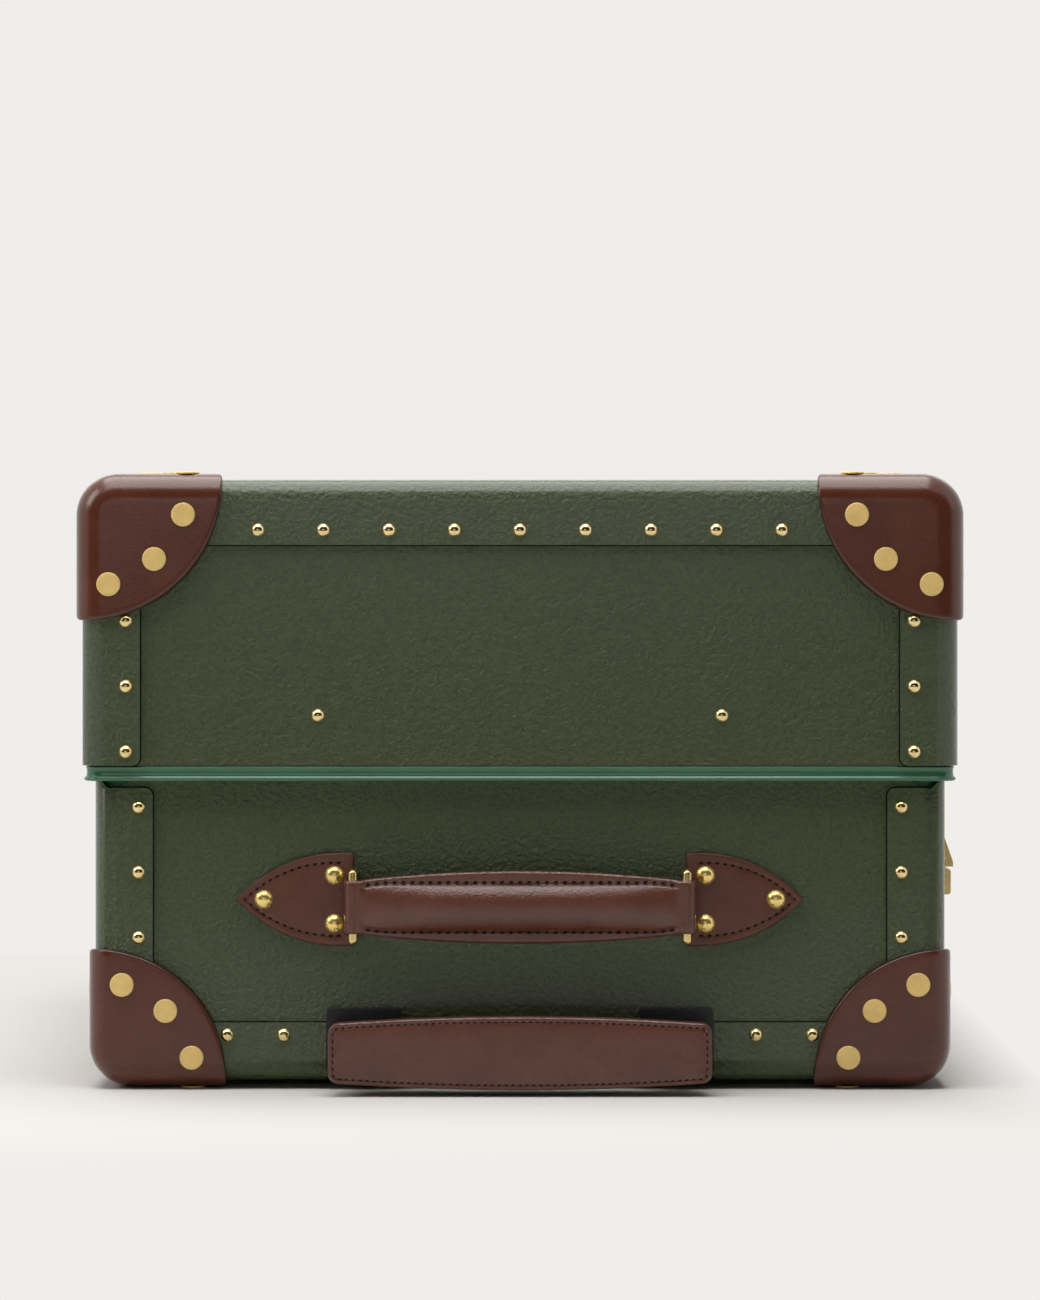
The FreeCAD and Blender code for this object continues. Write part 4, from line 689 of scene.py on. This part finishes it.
def make_chapes():
    for sign, side in zip(SIGNS, ("left", "right")):
        node = f"handle_chape_{side}"
        tab = Parts()
        rows = chape_rows(sign)
        edge = [dark for _, _, dark in CHAPE_SECTION]
        tab.add(*skin(rows, last_cap=True), np.repeat(edge, len(rows[0])))
        tab.add(*chape_fold(sign), FOLD_DARK)
        tab.piece(f"{node}_leather", STRAP_LEATHER, "base", "leather", [node], sharp=60)
        seam = Parts()
        outline = chape_ring(CHAPE_SEAM)
        sewn = outline[outline[:, 0] > CHAPE_EDGE + CHAPE_SEAM + SEAM_CLEAR]
        line = standing(sewn, panel_face - CHAPE_SEAM_HEIGHT, chape_middle, sign)
        sew(seam, line, (0, -1, 0), pitch=3.9, length=2.0, width=1.35)
        seam.piece(f"{node}_stitches", THREAD, "base", "leather")


# Grip of the carry handle: a padded roll between two flat flanges, with a tab folded round a ring at each end

GRIP_END = 86.6
GRIP_POINTS = 85
# The points across the grip are partly even and partly closer together at its flanges
EVEN_SHARE = 0.45
ROLL_END = 78.6
ROLL_END_HALF, ROLL_MIDDLE_HALF = 13.6, 18
ROLL_END_THICK, ROLL_SWELL = 3.8, 4.2
FLANGE_THICK = 2.1
BULGE_POWER = 0.85
GROOVE_DEPTH, GROOVE_WIDTH = 0.55, 0.75
# The seams run level and then turn in towards the ends of the roll
ROLL_SEAM = 11.5
SEAM_BEND_START, SEAM_BEND_LENGTH, SEAM_BEND = 62, 15, 1.6
# The roll turns into the tab over this length
TAB_START, TAB_BLEND = 75, 4.5
TAB_HALF = 13.5
TAB_NECK = 3.9
TAB_SQUARENESS = 14
THINNEST = 0.02
FOLD_THINNEST = 0.05
# The flanges' cut edges darken from this share of the height
CUT_START, CUT_FADE, CUT_DARK = 0.955, 0.03, 0.4
STITCH_OUTSIDE, STITCH_RISE, STITCH_MARGIN = 0.9, 0.08, 1.5
grip_low, grip_high = box_of("carry_handle_grip")
grip_y, grip_z = ((grip_low + grip_high) / 2)[1:]


def roll_half(across):
    """Half the height and half the thickness of the roll at a distance from its middle."""
    share = min(1, abs(across) / ROLL_END)
    tall = ROLL_END_HALF + (ROLL_MIDDLE_HALF - ROLL_END_HALF) * (1 - share ** 2)
    return tall, ROLL_END_THICK + ROLL_SWELL * (1 - share ** 3)


def seam_height(across):
    return ROLL_SEAM - SEAM_BEND * max(0, (abs(across) - SEAM_BEND_START) / SEAM_BEND_LENGTH) ** 2


def roll_section(across, levels):
    """Thickness of the roll, at shares of its half height, from seam to seam and out to the flanges."""
    tall, thick = roll_half(across)
    seam = seam_height(across)
    out = []
    for level in levels:
        z = abs(level) * tall
        rounding = max(0, (z - (tall - FLANGE_THICK)) / FLANGE_THICK)
        flange = FLANGE_THICK * math.sqrt(max(0, 1 - rounding ** 2))
        bulge = (thick - FLANGE_THICK) * max(0, 1 - (z / seam) ** 2) ** BULGE_POWER
        groove = GROOVE_DEPTH * math.exp(-((z - seam) / GROOVE_WIDTH) ** 2)
        out.append(max(THINNEST, flange + bulge - groove * min(1, flange / FLANGE_THICK)))
    return np.array(out)


def tab_section(across, levels):
    """Thickness of the flat tab that is folded round the ring."""
    bend = max(0, FOLD_RADIUS ** 2 - (abs(across) - CHAPE_EDGE) ** 2)
    neck = TAB_NECK if abs(across) < CHAPE_EDGE else 0
    thick = max(math.sqrt(bend), neck, FOLD_THINNEST)
    return np.array([thick * (1 - abs(level) ** TAB_SQUARENESS) ** 0.5 if abs(level) < 1 else THINNEST
                     for level in levels])


def grip_rows(levels):
    """Closed sections of the grip from its left end to its right end."""
    roll, neck, tab = np.linspace(0, 60, 31), np.linspace(61.5, 77.5, 15), np.linspace(78.2, GRIP_END, 16)
    reach = np.concatenate((roll, neck, tab))
    rows = []
    for across in np.concatenate((-reach[:0:-1], reach)):
        blend = float(np.clip((abs(across) - TAB_START) / TAB_BLEND, 0, 1))
        blend = blend * blend * (3 - 2 * blend)
        tall = roll_half(across)[0] * (1 - blend) + TAB_HALF * blend
        thick = roll_section(across, levels) * (1 - blend) + tab_section(across, levels) * blend
        place = np.full(GRIP_POINTS, across)
        front = np.column_stack((place, grip_y - thick, grip_z + levels * tall))
        rear = np.column_stack((place, grip_y + thick, grip_z + levels * tall))
        rows.append(np.concatenate((front, rear[::-1])))
    return rows


def make_carry_grip():
    even = np.linspace(-1, 1, GRIP_POINTS)
    levels = np.sin(even * math.pi / 2) * (1 - EVEN_SHARE) + even * EVEN_SHARE
    rows = grip_rows(levels)
    dark = np.clip((np.abs(levels) - CUT_START) / CUT_FADE, 0, CUT_DARK)
    edge = np.tile(np.concatenate((dark, dark[::-1])), len(rows))
    grip = piece("carry_handle_grip_leather", *skin(rows, first_cap=True, last_cap=True), GRIP_LEATHER,
                 "carry_grip", "leather", ["carry_handle_grip"], edge, sharp=60)
    seam = Parts()
    for face in SIGNS:
        for way in SIGNS:
            line = []
            for across in np.linspace(-ROLL_END + STITCH_MARGIN, ROLL_END - STITCH_MARGIN, 60):
                z = seam_height(across) + STITCH_OUTSIDE
                depth = roll_section(across, [z / roll_half(across)[0]])[0]
                line.append((across, grip_y + face * (depth + STITCH_RISE), grip_z + way * z))
            sew(seam, line, (0, face, 0), pitch=4.4, length=2.2, width=1.4)
    seam.piece("carry_handle_grip_stitches", THREAD, "carry_grip", "leather")


# Grip of the pull-out handle

COVER_END = 14.5
COVER_CORNER = 5.5
SMALLEST_CORNER = 0.4
COVER_SEAM = 2.5
COVER_SEAM_DEPTH = 1.1
# Distance inside the outline, distance behind the front of the grip and how dark the leather is there
COVER_SECTION = [
    (4, 24, 0), (2.4, 24, 0), (1.9, 23.7, 0), (1.8, 23, 0), (1.8, 9.6, 0), (1.5, 9, 0), (0.3, 8.7, 0),
    (0, 8.2, 0), (0, 5.3, 0), (0.35, 4.7, 0.7), (0, 4.1, 0.7), (0, 2.9, 0), (0.1, 2.1, 0), (0.42, 1.45, 0.25),
    (0.95, 1.0, 0.25), (1.6, 0.86, 0), (2.1, 1.0, 0), (2.5, 1.22, 0), (2.9, 1.05, 0), (3.5, 0.78, 0),
    (5, 0.5, 0), (7.5, 0.24, 0), (10.5, 0.06, 0), (13, 0, 0),
]
cover_low, cover_high = box_of("trolley_grip_cover")
cover_z = (cover_low[2] + cover_high[2]) / 2
cover_half = cover_high[0]


def cover_outline(inset):
    """The grip's crowned outline, moved inwards, with rounded corners."""
    crowned = cover_high[2] - cover_z
    sag = crowned - COVER_END
    rise = (cover_half ** 2 + sag ** 2) / (2 * sag)
    side, radius = cover_half - inset, rise - inset
    corner = max(SMALLEST_CORNER, COVER_CORNER - inset)

    def top(x):
        return crowned - rise + math.sqrt(radius ** 2 - x ** 2)

    x_middle = side - corner
    z_middle = top(x_middle) - corner
    arc = [(x_middle + corner * math.sin(turn), z_middle + corner * math.cos(turn))
           for turn in np.linspace(0, math.pi / 2, 10)]
    upper = [(x, top(x)) for x in np.linspace(0, x_middle, 40)[:-1]]
    flank = [(side, z) for z in np.linspace(z_middle, 0, 8)[1:]]
    quarter = upper + arc + flank
    lower = [(x, -z) for x, z in reversed(quarter[:-1])]
    right = quarter + lower
    left = [(-x, z) for x, z in reversed(right[1:-1])]
    return np.array(right + left)


def make_trolley_cover():
    front = cover_low[1]
    rows = [standing(cover_outline(inset), front + depth, cover_z) for inset, depth, _ in COVER_SECTION]
    edge = np.repeat([dark for _, _, dark in COVER_SECTION], len(rows[0]))
    cover = piece("trolley_grip_leather", *skin(rows, last_cap=True), GRIP_LEATHER, "trolley_stage_2",
                  "leather", ["trolley_grip_cover"], edge, sharp=60)
    seam = Parts()
    line = standing(cover_outline(COVER_SEAM), front + COVER_SEAM_DEPTH, cover_z)
    sew(seam, line, (0, -1, 0), pitch=3.4, length=1.7, width=0.85, closed=True)
    seam.piece("trolley_grip_stitches", THREAD, "trolley_stage_2", "leather")


# Rim moulding and linings, swept round the plan of the case

CORNER_STEPS = 10
# The base's lining lies this much further in from the ends than from the sides
END_EXTRA = 2
rim_low, rim_high = box_of("base_rim")
base_top = base_high[2]
rim_top = lid_low[2] - 0.4
# Inset from the lid's outside across and along the case, height, and radius in the corners
RIM_PROFILE = [
    (8, 10, rim_low[2], 9), (8, 10, base_top - 0.4, 9), (7.4, 9.4, base_top, 8), (2.2, 2.2, base_top, 9),
    (1.5, 1.5, base_top + 0.1, 9.6), (1.05, 1.05, base_top + 0.4, 10), (0.82, 0.82, base_top + 0.85, 10.2),
    (0.8, 0.8, base_top + 1.2, 10.2), (0.98, 0.98, base_top + 1.65, 10), (1.4, 1.4, base_top + 2.05, 9.6),
    (1.8, 1.8, base_top + 2.35, 9.2), (1.95, 1.95, base_top + 2.7, 9), (2.05, 2.05, base_top + 3.4, 9),
    (2.1, 2.1, base_top + 4.3, 8.9), (2.07, 2.07, base_top + 5.2, 8.9), (1.97, 1.97, base_top + 6.1, 9),
    (1.78, 1.78, base_top + 6.6, 9.2), (1.7, 1.7, base_top + 6.85, 9.3), (1.85, 1.85, base_top + 7.15, 9.2),
    (2.3, 2.3, rim_top, 8.8), (4.9, 6.9, rim_top, 6), (5.2, 7.2, rim_top + 0.5, 5.8),
    (5.2, 7.2, rim_high[2] - 0.8, 5.8), (5.4, 7.4, rim_high[2] - 0.25, 5.6), (6.2, 8.2, rim_high[2], 4.8),
    (7.0, 9.0, rim_high[2] - 0.25, 4), (7.2, 9.2, rim_high[2] - 0.8, 3.8), (7.2, 9.2, rim_top, 3.8),
    (10, 12, rim_top - 0.2, 7), (10, 12, rim_low[2], 7),
]


def plan_loop(inset_across, inset_along, radius):
    """A rounded rectangle inside the lid's outline."""
    right, rear = lid_high[0] - inset_across - radius, lid_high[1] - inset_along - radius
    front = lid_low[1] + inset_along + radius
    loop = []
    for quarter, (x, y) in enumerate([(right, rear), (-right, rear), (-right, front), (right, front)]):
        for turn in np.linspace(quarter, quarter + 1, CORNER_STEPS) * math.pi / 2:
            loop.append((x + radius * math.cos(turn), y + radius * math.sin(turn)))
    return np.array(loop)


def swept(profile):
    rows = []
    for across, along, z, radius in profile:
        loop = plan_loop(across, along, radius)
        rows.append(np.column_stack((loop, np.full(len(loop), z))))
    return rows


def stepped(node, section):
    """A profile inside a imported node's outline, from steps inwards, heights and radii."""
    low, high = box_of(node)
    across, along = lid_high[0] - high[0], low[1] - lid_low[1]
    return [(across + step, along + step, z, radius) for step, z, radius in section]


def make_rim():
    piece("base_rim_moulding", *skin(swept(RIM_PROFILE), closed_rows=True), RIM, "base", "rim_lacquer",
          ["base_rim"], sharp=50)


def make_base_lining():
    low, high = box_of("base_lining")
    bottom, top = low[2], high[2]
    section = [
        (10.25, bottom, 6.7), (10.25, top - 0.5, 6.7), (10.5, top - 0.1, 6.5), (10.9, top, 6.2),
        (11.25, top - 0.2, 5.8), (11.4, top - 0.8, 5.7), (11.4, top - 5.2, 5.7), (11.2, top - 5.8, 5.9),
        (11.4, top - 6.4, 5.7), (11.6, (bottom + top) / 2, 5.5), (11.4, bottom, 5.7),
    ]
    profile = [(inset, inset + END_EXTRA, z, radius) for inset, z, radius in section]
    piece("base_lining_fabric", *skin(swept(profile), closed_rows=True), LINING, "base", "lining_fabric",
          ["base_lining"])
    seam = Parts()
    seam_inset, seam_radius, seam_drop = 11.3, 5.8, 5.8
    loop = plan_loop(seam_inset, seam_inset + END_EXTRA, seam_radius)
    for start, end in zip(loop[CORNER_STEPS - 1::CORNER_STEPS], np.roll(loop[::CORNER_STEPS], -1, axis=0)):
        inward = case_middle[:2] - (start + end) / 2
        axis = int(np.argmax(np.abs(inward)))
        outward = np.zeros(3)
        outward[axis] = np.sign(inward[axis])
        line = [(*start, top - seam_drop), (*end, top - seam_drop)]
        sew(seam, line, outward, pitch=6, length=4, width=0.6)
    seam.piece("base_lining_stitches", THREAD, "base", "lining_fabric")


def make_floor_board():
    low, high = box_of("base_floor_board")
    top, padded_top = high[2], high[2] + 0.25
    section = [
        (0, low[2], 9), (0, top - 0.7, 9), (0.2, top - 0.2, 8.8), (0.8, top, 8.2), (4, top, 8),
        (8, padded_top, 8), (40, padded_top, 8), (120, padded_top, 8), (190, top, 8),
    ]
    rows = swept(stepped("base_floor_board", section))
    piece("base_floor_fabric", *skin(rows, first_cap=True, last_cap=True), LINING, "base", "lining_fabric",
          ["base_floor_board"])


def make_lid_lining():
    low, high = box_of("lid_lining")
    bottom, top = low[2], high[2]
    thick, bend = 1.2, 15
    section = [
        (0, bottom + 0.6, 7), (0.2, bottom + 0.15, 6.8), (0.6, bottom, 6.5), (1.0, bottom + 0.15, 6.2),
        (1.2, bottom + 0.6, 6), (1.25, bottom + 40, 6),
    ]
    for turn in np.radians(np.linspace(0, 90, 9)):
        step = thick + bend * (1 - math.cos(turn))
        section.append((step, top - thick - bend * (1 - math.sin(turn)), max(2, 7 - step / 3)))
    # Steps inwards and drops of the padded middle, with the sewn groove round it
    padding = [
        (24, 1.2), (29, 1.3), (30.2, 2.4), (31.6, 3.1), (33, 2.4), (34, 1.4), (38, 2.2), (48, 4.2), (66, 6),
        (100, 7.2), (150, 7.6), (185, 7.7),
    ]
    section += [(step, top - drop, 6) for step, drop in padding]
    rows = swept(stepped("lid_lining", section))
    lining = piece("lid_lining_fabric", *skin(rows, last_cap=True), LINING, "lid", "lining_fabric",
                   ["lid_lining"])


# Packing straps, slightly wavy along their length

STRAP_STATIONS = 60
STRAP_WAVE = 0.025
STRAP_WAVE_LENGTH = 31
STRAP_SEAM = 2.2
STRAP_SEAM_DROP = 0.2


def make_straps():
    straps, seam = Parts(), Parts()
    low, high = box_of("packing_straps")
    for strap_low, strap_high in islands("packing_straps"):
        middle = (strap_low[1] + strap_high[1]) / 2
        half = (strap_high[1] - strap_low[1]) / 2
        bottom, thick = strap_low[2], strap_high[2] - strap_low[2]
        flank = [(half, 0.2), (half, 1.1), (half - 0.25, 1.5), (half - 0.8, thick - 0.05),
                 (half - STRAP_SEAM, thick - 0.3), (half - 3, thick)]
        section = [(-y, z) for y, z in flank] + [(0, thick + 0.12)] + flank[::-1]
        rows = []
        for across in np.linspace(strap_low[0], strap_high[0], STRAP_STATIONS):
            swell = 1 + STRAP_WAVE * (1 + math.sin(across / STRAP_WAVE_LENGTH))
            rows.append([(across, middle + y, bottom + z * swell) for y, z in section])
        straps.add(np.concatenate(rows), grid(STRAP_STATIONS, len(section)))
        for side in SIGNS:
            y, z = middle + side * (half - STRAP_SEAM), high[2] - STRAP_SEAM_DROP
            sew(seam, [(low[0], y, z), (high[0], y, z)], (0, 0, 1), pitch=4.5, length=3, width=0.7)
    straps.piece("packing_straps_leather", STRAP_LEATHER, "base", "leather", ["packing_straps"])
    seam.piece("packing_strap_stitches", THREAD, "base", "leather")


# Painted shadow line: a dark strip along the edges of the boards that are turned over the ends

FLANGE = 29.2
LID_FLANGE = 32.5
FLANGE_DROP = 3.4
FLANGE_CORNER = 4
PATH_START = 0.5
SHARP_TURN = 0.01
# Distance from the flange's edge and height above the panel, across the strip of painted shadow
SHADOW_STRIP = [(-0.3, 1.8), (0.02, 1.6), (0.15, 0.7), (0.4, 0.2), (0.6, 0.02)]


def corner_arc(x, z, start):
    turns = np.radians(np.linspace(start, start + 90, 7))
    return [(x + FLANGE_CORNER * math.cos(turn), z + FLANGE_CORNER * math.sin(turn)) for turn in turns]


def mirrored(half_path):
    """A path from the middle of the case to its right side, made whole."""
    return np.array([(-x, z) for x, z in reversed(half_path)] + half_path)


def shadow_strip_rows(path, face, way):
    """A narrow strip of painted shadow that follows a path on an end panel."""
    along = np.gradient(path, axis=0)
    along = along / np.linalg.norm(along, axis=1)[:, None]
    inward = np.stack((along[:, 1], -along[:, 0]), -1)
    rows = [standing(path + inward * step, face + way * height, 0) for step, height in SHADOW_STRIP]
    return np.concatenate(rows), grid(len(SHADOW_STRIP), len(path))


def make_flange_shadow_lines():
    side, level = lid_high[0] - FLANGE, lid_high[2] - LID_FLANGE
    lid_path = [(PATH_START, level), (side - SHARP_TURN, level), (side, level - SHARP_TURN)]
    lid_path += corner_arc(side + FLANGE_CORNER, lid_low[2] + FLANGE_CORNER, 180)
    side, level = base_high[0] - FLANGE, base_low[2] + FLANGE
    top, outer = base_high[2] - FLANGE_DROP, base_high[0] - 2 * BOARD
    base_path = [(PATH_START, level), (side - SHARP_TURN, level), (side, level + SHARP_TURN)]
    base_path += corner_arc(side + FLANGE_CORNER, top - FLANGE_CORNER, 90)[::-1]
    base_path += [(outer - FLANGE_DROP, top), (outer, base_high[2])]
    for half, path, turn in (("lid", lid_path, 1), ("base", base_path, -1)):
        # A strip of painted shadow along the board's edge on each end panel
        shadow_strips = Parts()
        for end, way in (("handle", -1), ("wheel", 1)):
            low, high = box_of(f"{half}_{end}_end_panel")
            face = low[1] if way < 0 else high[1]
            shadow_strips.add(*shadow_strip_rows(mirrored(path)[::turn], face, way))
        shadow_strips.piece(f"{half}_flange_shadow_lines", PAINTED_SHADOW_LINE, half, "fibreboard")


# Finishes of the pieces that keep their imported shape

FINISHES = {
    "fibreboard": FIBREBOARD,
    "rim_lacquer": RIM,
    "lining_fabric": LINING,
    "leather": STRAP_LEATHER,
    "brass": HARDWARE_BRASS,
    "black_plastic": PLASTIC,
    "tube_aluminium": ALUMINIUM,
    "steel": STEEL,
    "wheel_rubber": RUBBER,
}
# Widths of the broken edges in millimetres
SOFT_EDGES = {"fibreboard": 0.35, "brass": 0.3, "black_plastic": 0.8, "tube_aluminium": 0.3, "steel": 0.2}
SHARP_EDGE = 35
WELD_GAP = 0.005


def soften_edges(shown, width):
    """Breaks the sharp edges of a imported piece, so that they catch the light."""
    weld = shown.modifiers.new("weld", "WELD")
    weld.merge_threshold = WELD_GAP * MM
    bevel = shown.modifiers.new("broken_edges", "BEVEL")
    bevel.width = width * MM
    bevel.segments = 2
    bevel.limit_method = "ANGLE"
    bevel.angle_limit = math.radians(SHARP_EDGE)
    bevel.harden_normals = True


def finish_packed_nodes():
    for row in frame["record"]["subparts"]:
        shown = nodes[row["node"]]
        if row["material_slot"] in SOFT_EDGES:
            soften_edges(shown, SOFT_EDGES[row["material_slot"]])
        shown.data.materials.clear()
        shown.data.materials.append(FINISHES[row["material_slot"]])


# Studio: floor, backdrop and lamps, in metres and watts

PALE = (0.866, 0.852, 0.826)
FLOOR_REACH = 60
# Where the floor and its shadow begin and end to fade into the backdrop: across on each side, and along
LATCH_SIDE_FADE = (0.21, 0.265)
HINGE_SIDE_FADE = (-0.22, -0.56)
END_FADE = (0.34, 0.66)
AMBIENT_COLOUR = (1, 0.985, 0.96)
AMBIENT_STRENGTH = 0.08
LAMP_COLOUR = (1, 0.985, 0.965)
# Place of each lamp, the point it faces, its width, height and power
SOFTBOXES = {
    "softbox_top": ((-0.15, -0.25, 1.75), (-0.15, -0.25, 0), 1.5, 1.85, 34.5),
    "softbox_front": ((-0.3, -3.0, 0.62), (-0.1, -0.3, 0.25), 1.5, 0.7, 3),
    "softbox_back": ((0, 2.4, 1.7), (0, 0, 0.3), 3.2, 1.4, 10),
    "softbox_left": ((-1.25, -0.58, 1.0), (-0.1, -0.3, 0.25), 0.5, 0.7, 5),
    "softbox_right": ((1.9, -0.6, 1.3), (0, -0.2, 0.15), 0.8, 1.4, 1),
}
# The card lies on the floor in front of the case and then stands up: distance along and height of its bends
CARD_BENDS = [(-1.4, 0.004), (-3.8, 0.004), (-3.8, 4.6)]
CARD_HALF = 8
CARD_COLOUR = (0.09, 0.065, 0.045)


def seen_directly(tree):
    """One for rays from the camera and for those that a gloss or a clear piece sends on, else zero."""
    path = tree.nodes.new("ShaderNodeLightPath")
    seen = path.outputs["Is Camera Ray"]
    for kind in ("Is Glossy Ray", "Is Transmission Ray"):
        larger = tree.nodes.new("ShaderNodeMath")
        larger.operation = "MAXIMUM"
        tree.links.new(seen, larger.inputs[0])
        tree.links.new(path.outputs[kind], larger.inputs[1])
        seen = larger.outputs["Value"]
    return seen


def make_floor():
    """A pale floor that keeps the shadow near the case and fades into the backdrop."""
    shade = Shade("floor_pale", PALE, roughness=0.9, specular_ior_level=0.1)
    place = shade.node("ShaderNodeSeparateXYZ", {"Vector": shade.place}).outputs
    latch_side = shade.ramp(place["X"], *LATCH_SIDE_FADE)
    hinge_side = shade.ramp(place["X"], *HINGE_SIDE_FADE)
    ends = shade.ramp(shade.math("ABSOLUTE", place["Y"]), *END_FADE)
    far = shade.math("MAXIMUM", shade.math("MAXIMUM", latch_side, hinge_side), ends)
    glow = shade.node("ShaderNodeEmission", {"Color": (*PALE, 1), "Strength": 1})
    faded = shade.math("MULTIPLY", far, seen_directly(shade.tree))
    blend = shade.node("ShaderNodeMixShader", {0: faded, 1: shade.shader.outputs[0], 2: glow.outputs[0]})
    shade.tree.links.new(blend.outputs[0], shade.tree.nodes["Material Output"].inputs["Surface"])
    mesh = bpy.data.meshes.new("floor")
    reach = FLOOR_REACH
    mesh.from_pydata([(-reach, -reach, 0), (reach, -reach, 0), (reach, reach, 0), (-reach, reach, 0)], [],
                     [(0, 1, 2, 3)])
    mesh.materials.append(shade.material)
    floor = add_object("floor", mesh)


def make_world():
    world = bpy.data.worlds.new("studio")
    world.use_nodes = True
    tree = world.node_tree
    tree.nodes.clear()
    blend = tree.nodes.new("ShaderNodeMixShader")
    tree.links.new(seen_directly(tree), blend.inputs[0])
    grounds = ((AMBIENT_COLOUR, AMBIENT_STRENGTH), (PALE, 1))
    for socket, (colour, strength) in zip(blend.inputs[1:], grounds):
        ground = tree.nodes.new("ShaderNodeBackground")
        ground.inputs["Color"].default_value = (*colour, 1)
        ground.inputs["Strength"].default_value = strength
        tree.links.new(ground.outputs[0], socket)
    output = tree.nodes.new("ShaderNodeOutputWorld")
    tree.links.new(blend.outputs[0], output.inputs["Surface"])
    bpy.context.scene.world = world


def make_lights():
    for name, (place, target, width, height, power) in SOFTBOXES.items():
        lamp = bpy.data.lights.new(name, "AREA")
        lamp.shape = "RECTANGLE"
        lamp.size = width
        lamp.size_y = height
        lamp.energy = power
        lamp.color = LAMP_COLOUR
        made = add_object(name, lamp)
        made.location = place
        made.rotation_euler = (made.location - Vector(target)).to_track_quat("Z", "Y").to_euler()
        made.visible_camera = False


def make_dark_card():
    """The unlit end of the studio, which only shows in reflections."""
    mesh = bpy.data.meshes.new("dark_card")
    places = [(x, y, z) for y, z in CARD_BENDS for x in (-CARD_HALF, CARD_HALF)]
    mesh.from_pydata(places, [], grid(len(CARD_BENDS), 2))
    shade = Shade("card_felt", CARD_COLOUR, roughness=0.9, specular_ior_level=0.1)
    shade.bump(shade.noise(300), depth=1, strength=0.4)
    mesh.materials.append(shade.material)
    card = add_object("dark_card", mesh)
    card.visible_camera = False
    card.visible_diffuse = False
    card.visible_shadow = False


# Camera

IMAGE_HEIGHT = 1300
# Millimetres to a pixel at the handle end, and the picture rows of the horizon and of the floor there
PIXEL = 0.4944
HORIZON = 580
GROUND = 1090.7
CAMERA_DISTANCE = 2600
SENSOR = 36
SIGHT = 200


def make_camera():
    lens = bpy.data.cameras.new("camera")
    lens.sensor_fit = "VERTICAL"
    lens.sensor_height = SENSOR
    lens.lens = SENSOR * CAMERA_DISTANCE / (IMAGE_HEIGHT * PIXEL)
    lens.shift_y = (HORIZON - IMAGE_HEIGHT / 2) / IMAGE_HEIGHT
    lens.clip_end = SIGHT
    camera = add_object("camera", lens)
    camera.location = (0, (lid_low[1] - CAMERA_DISTANCE) * MM, (GROUND - HORIZON) * PIXEL * MM)
    camera.rotation_euler = (math.pi / 2, 0, 0)
    bpy.context.scene.camera = camera


finish_packed_nodes()
make_rivets()
make_leather_corners()
make_chapes()
make_carry_grip()
make_trolley_cover()
make_rim()
make_base_lining()
make_floor_board()
make_lid_lining()
make_straps()
make_flange_shadow_lines()
make_floor()
make_world()
make_lights()
make_dark_card()
make_camera()
bpy.context.scene.view_settings.view_transform = "Standard"
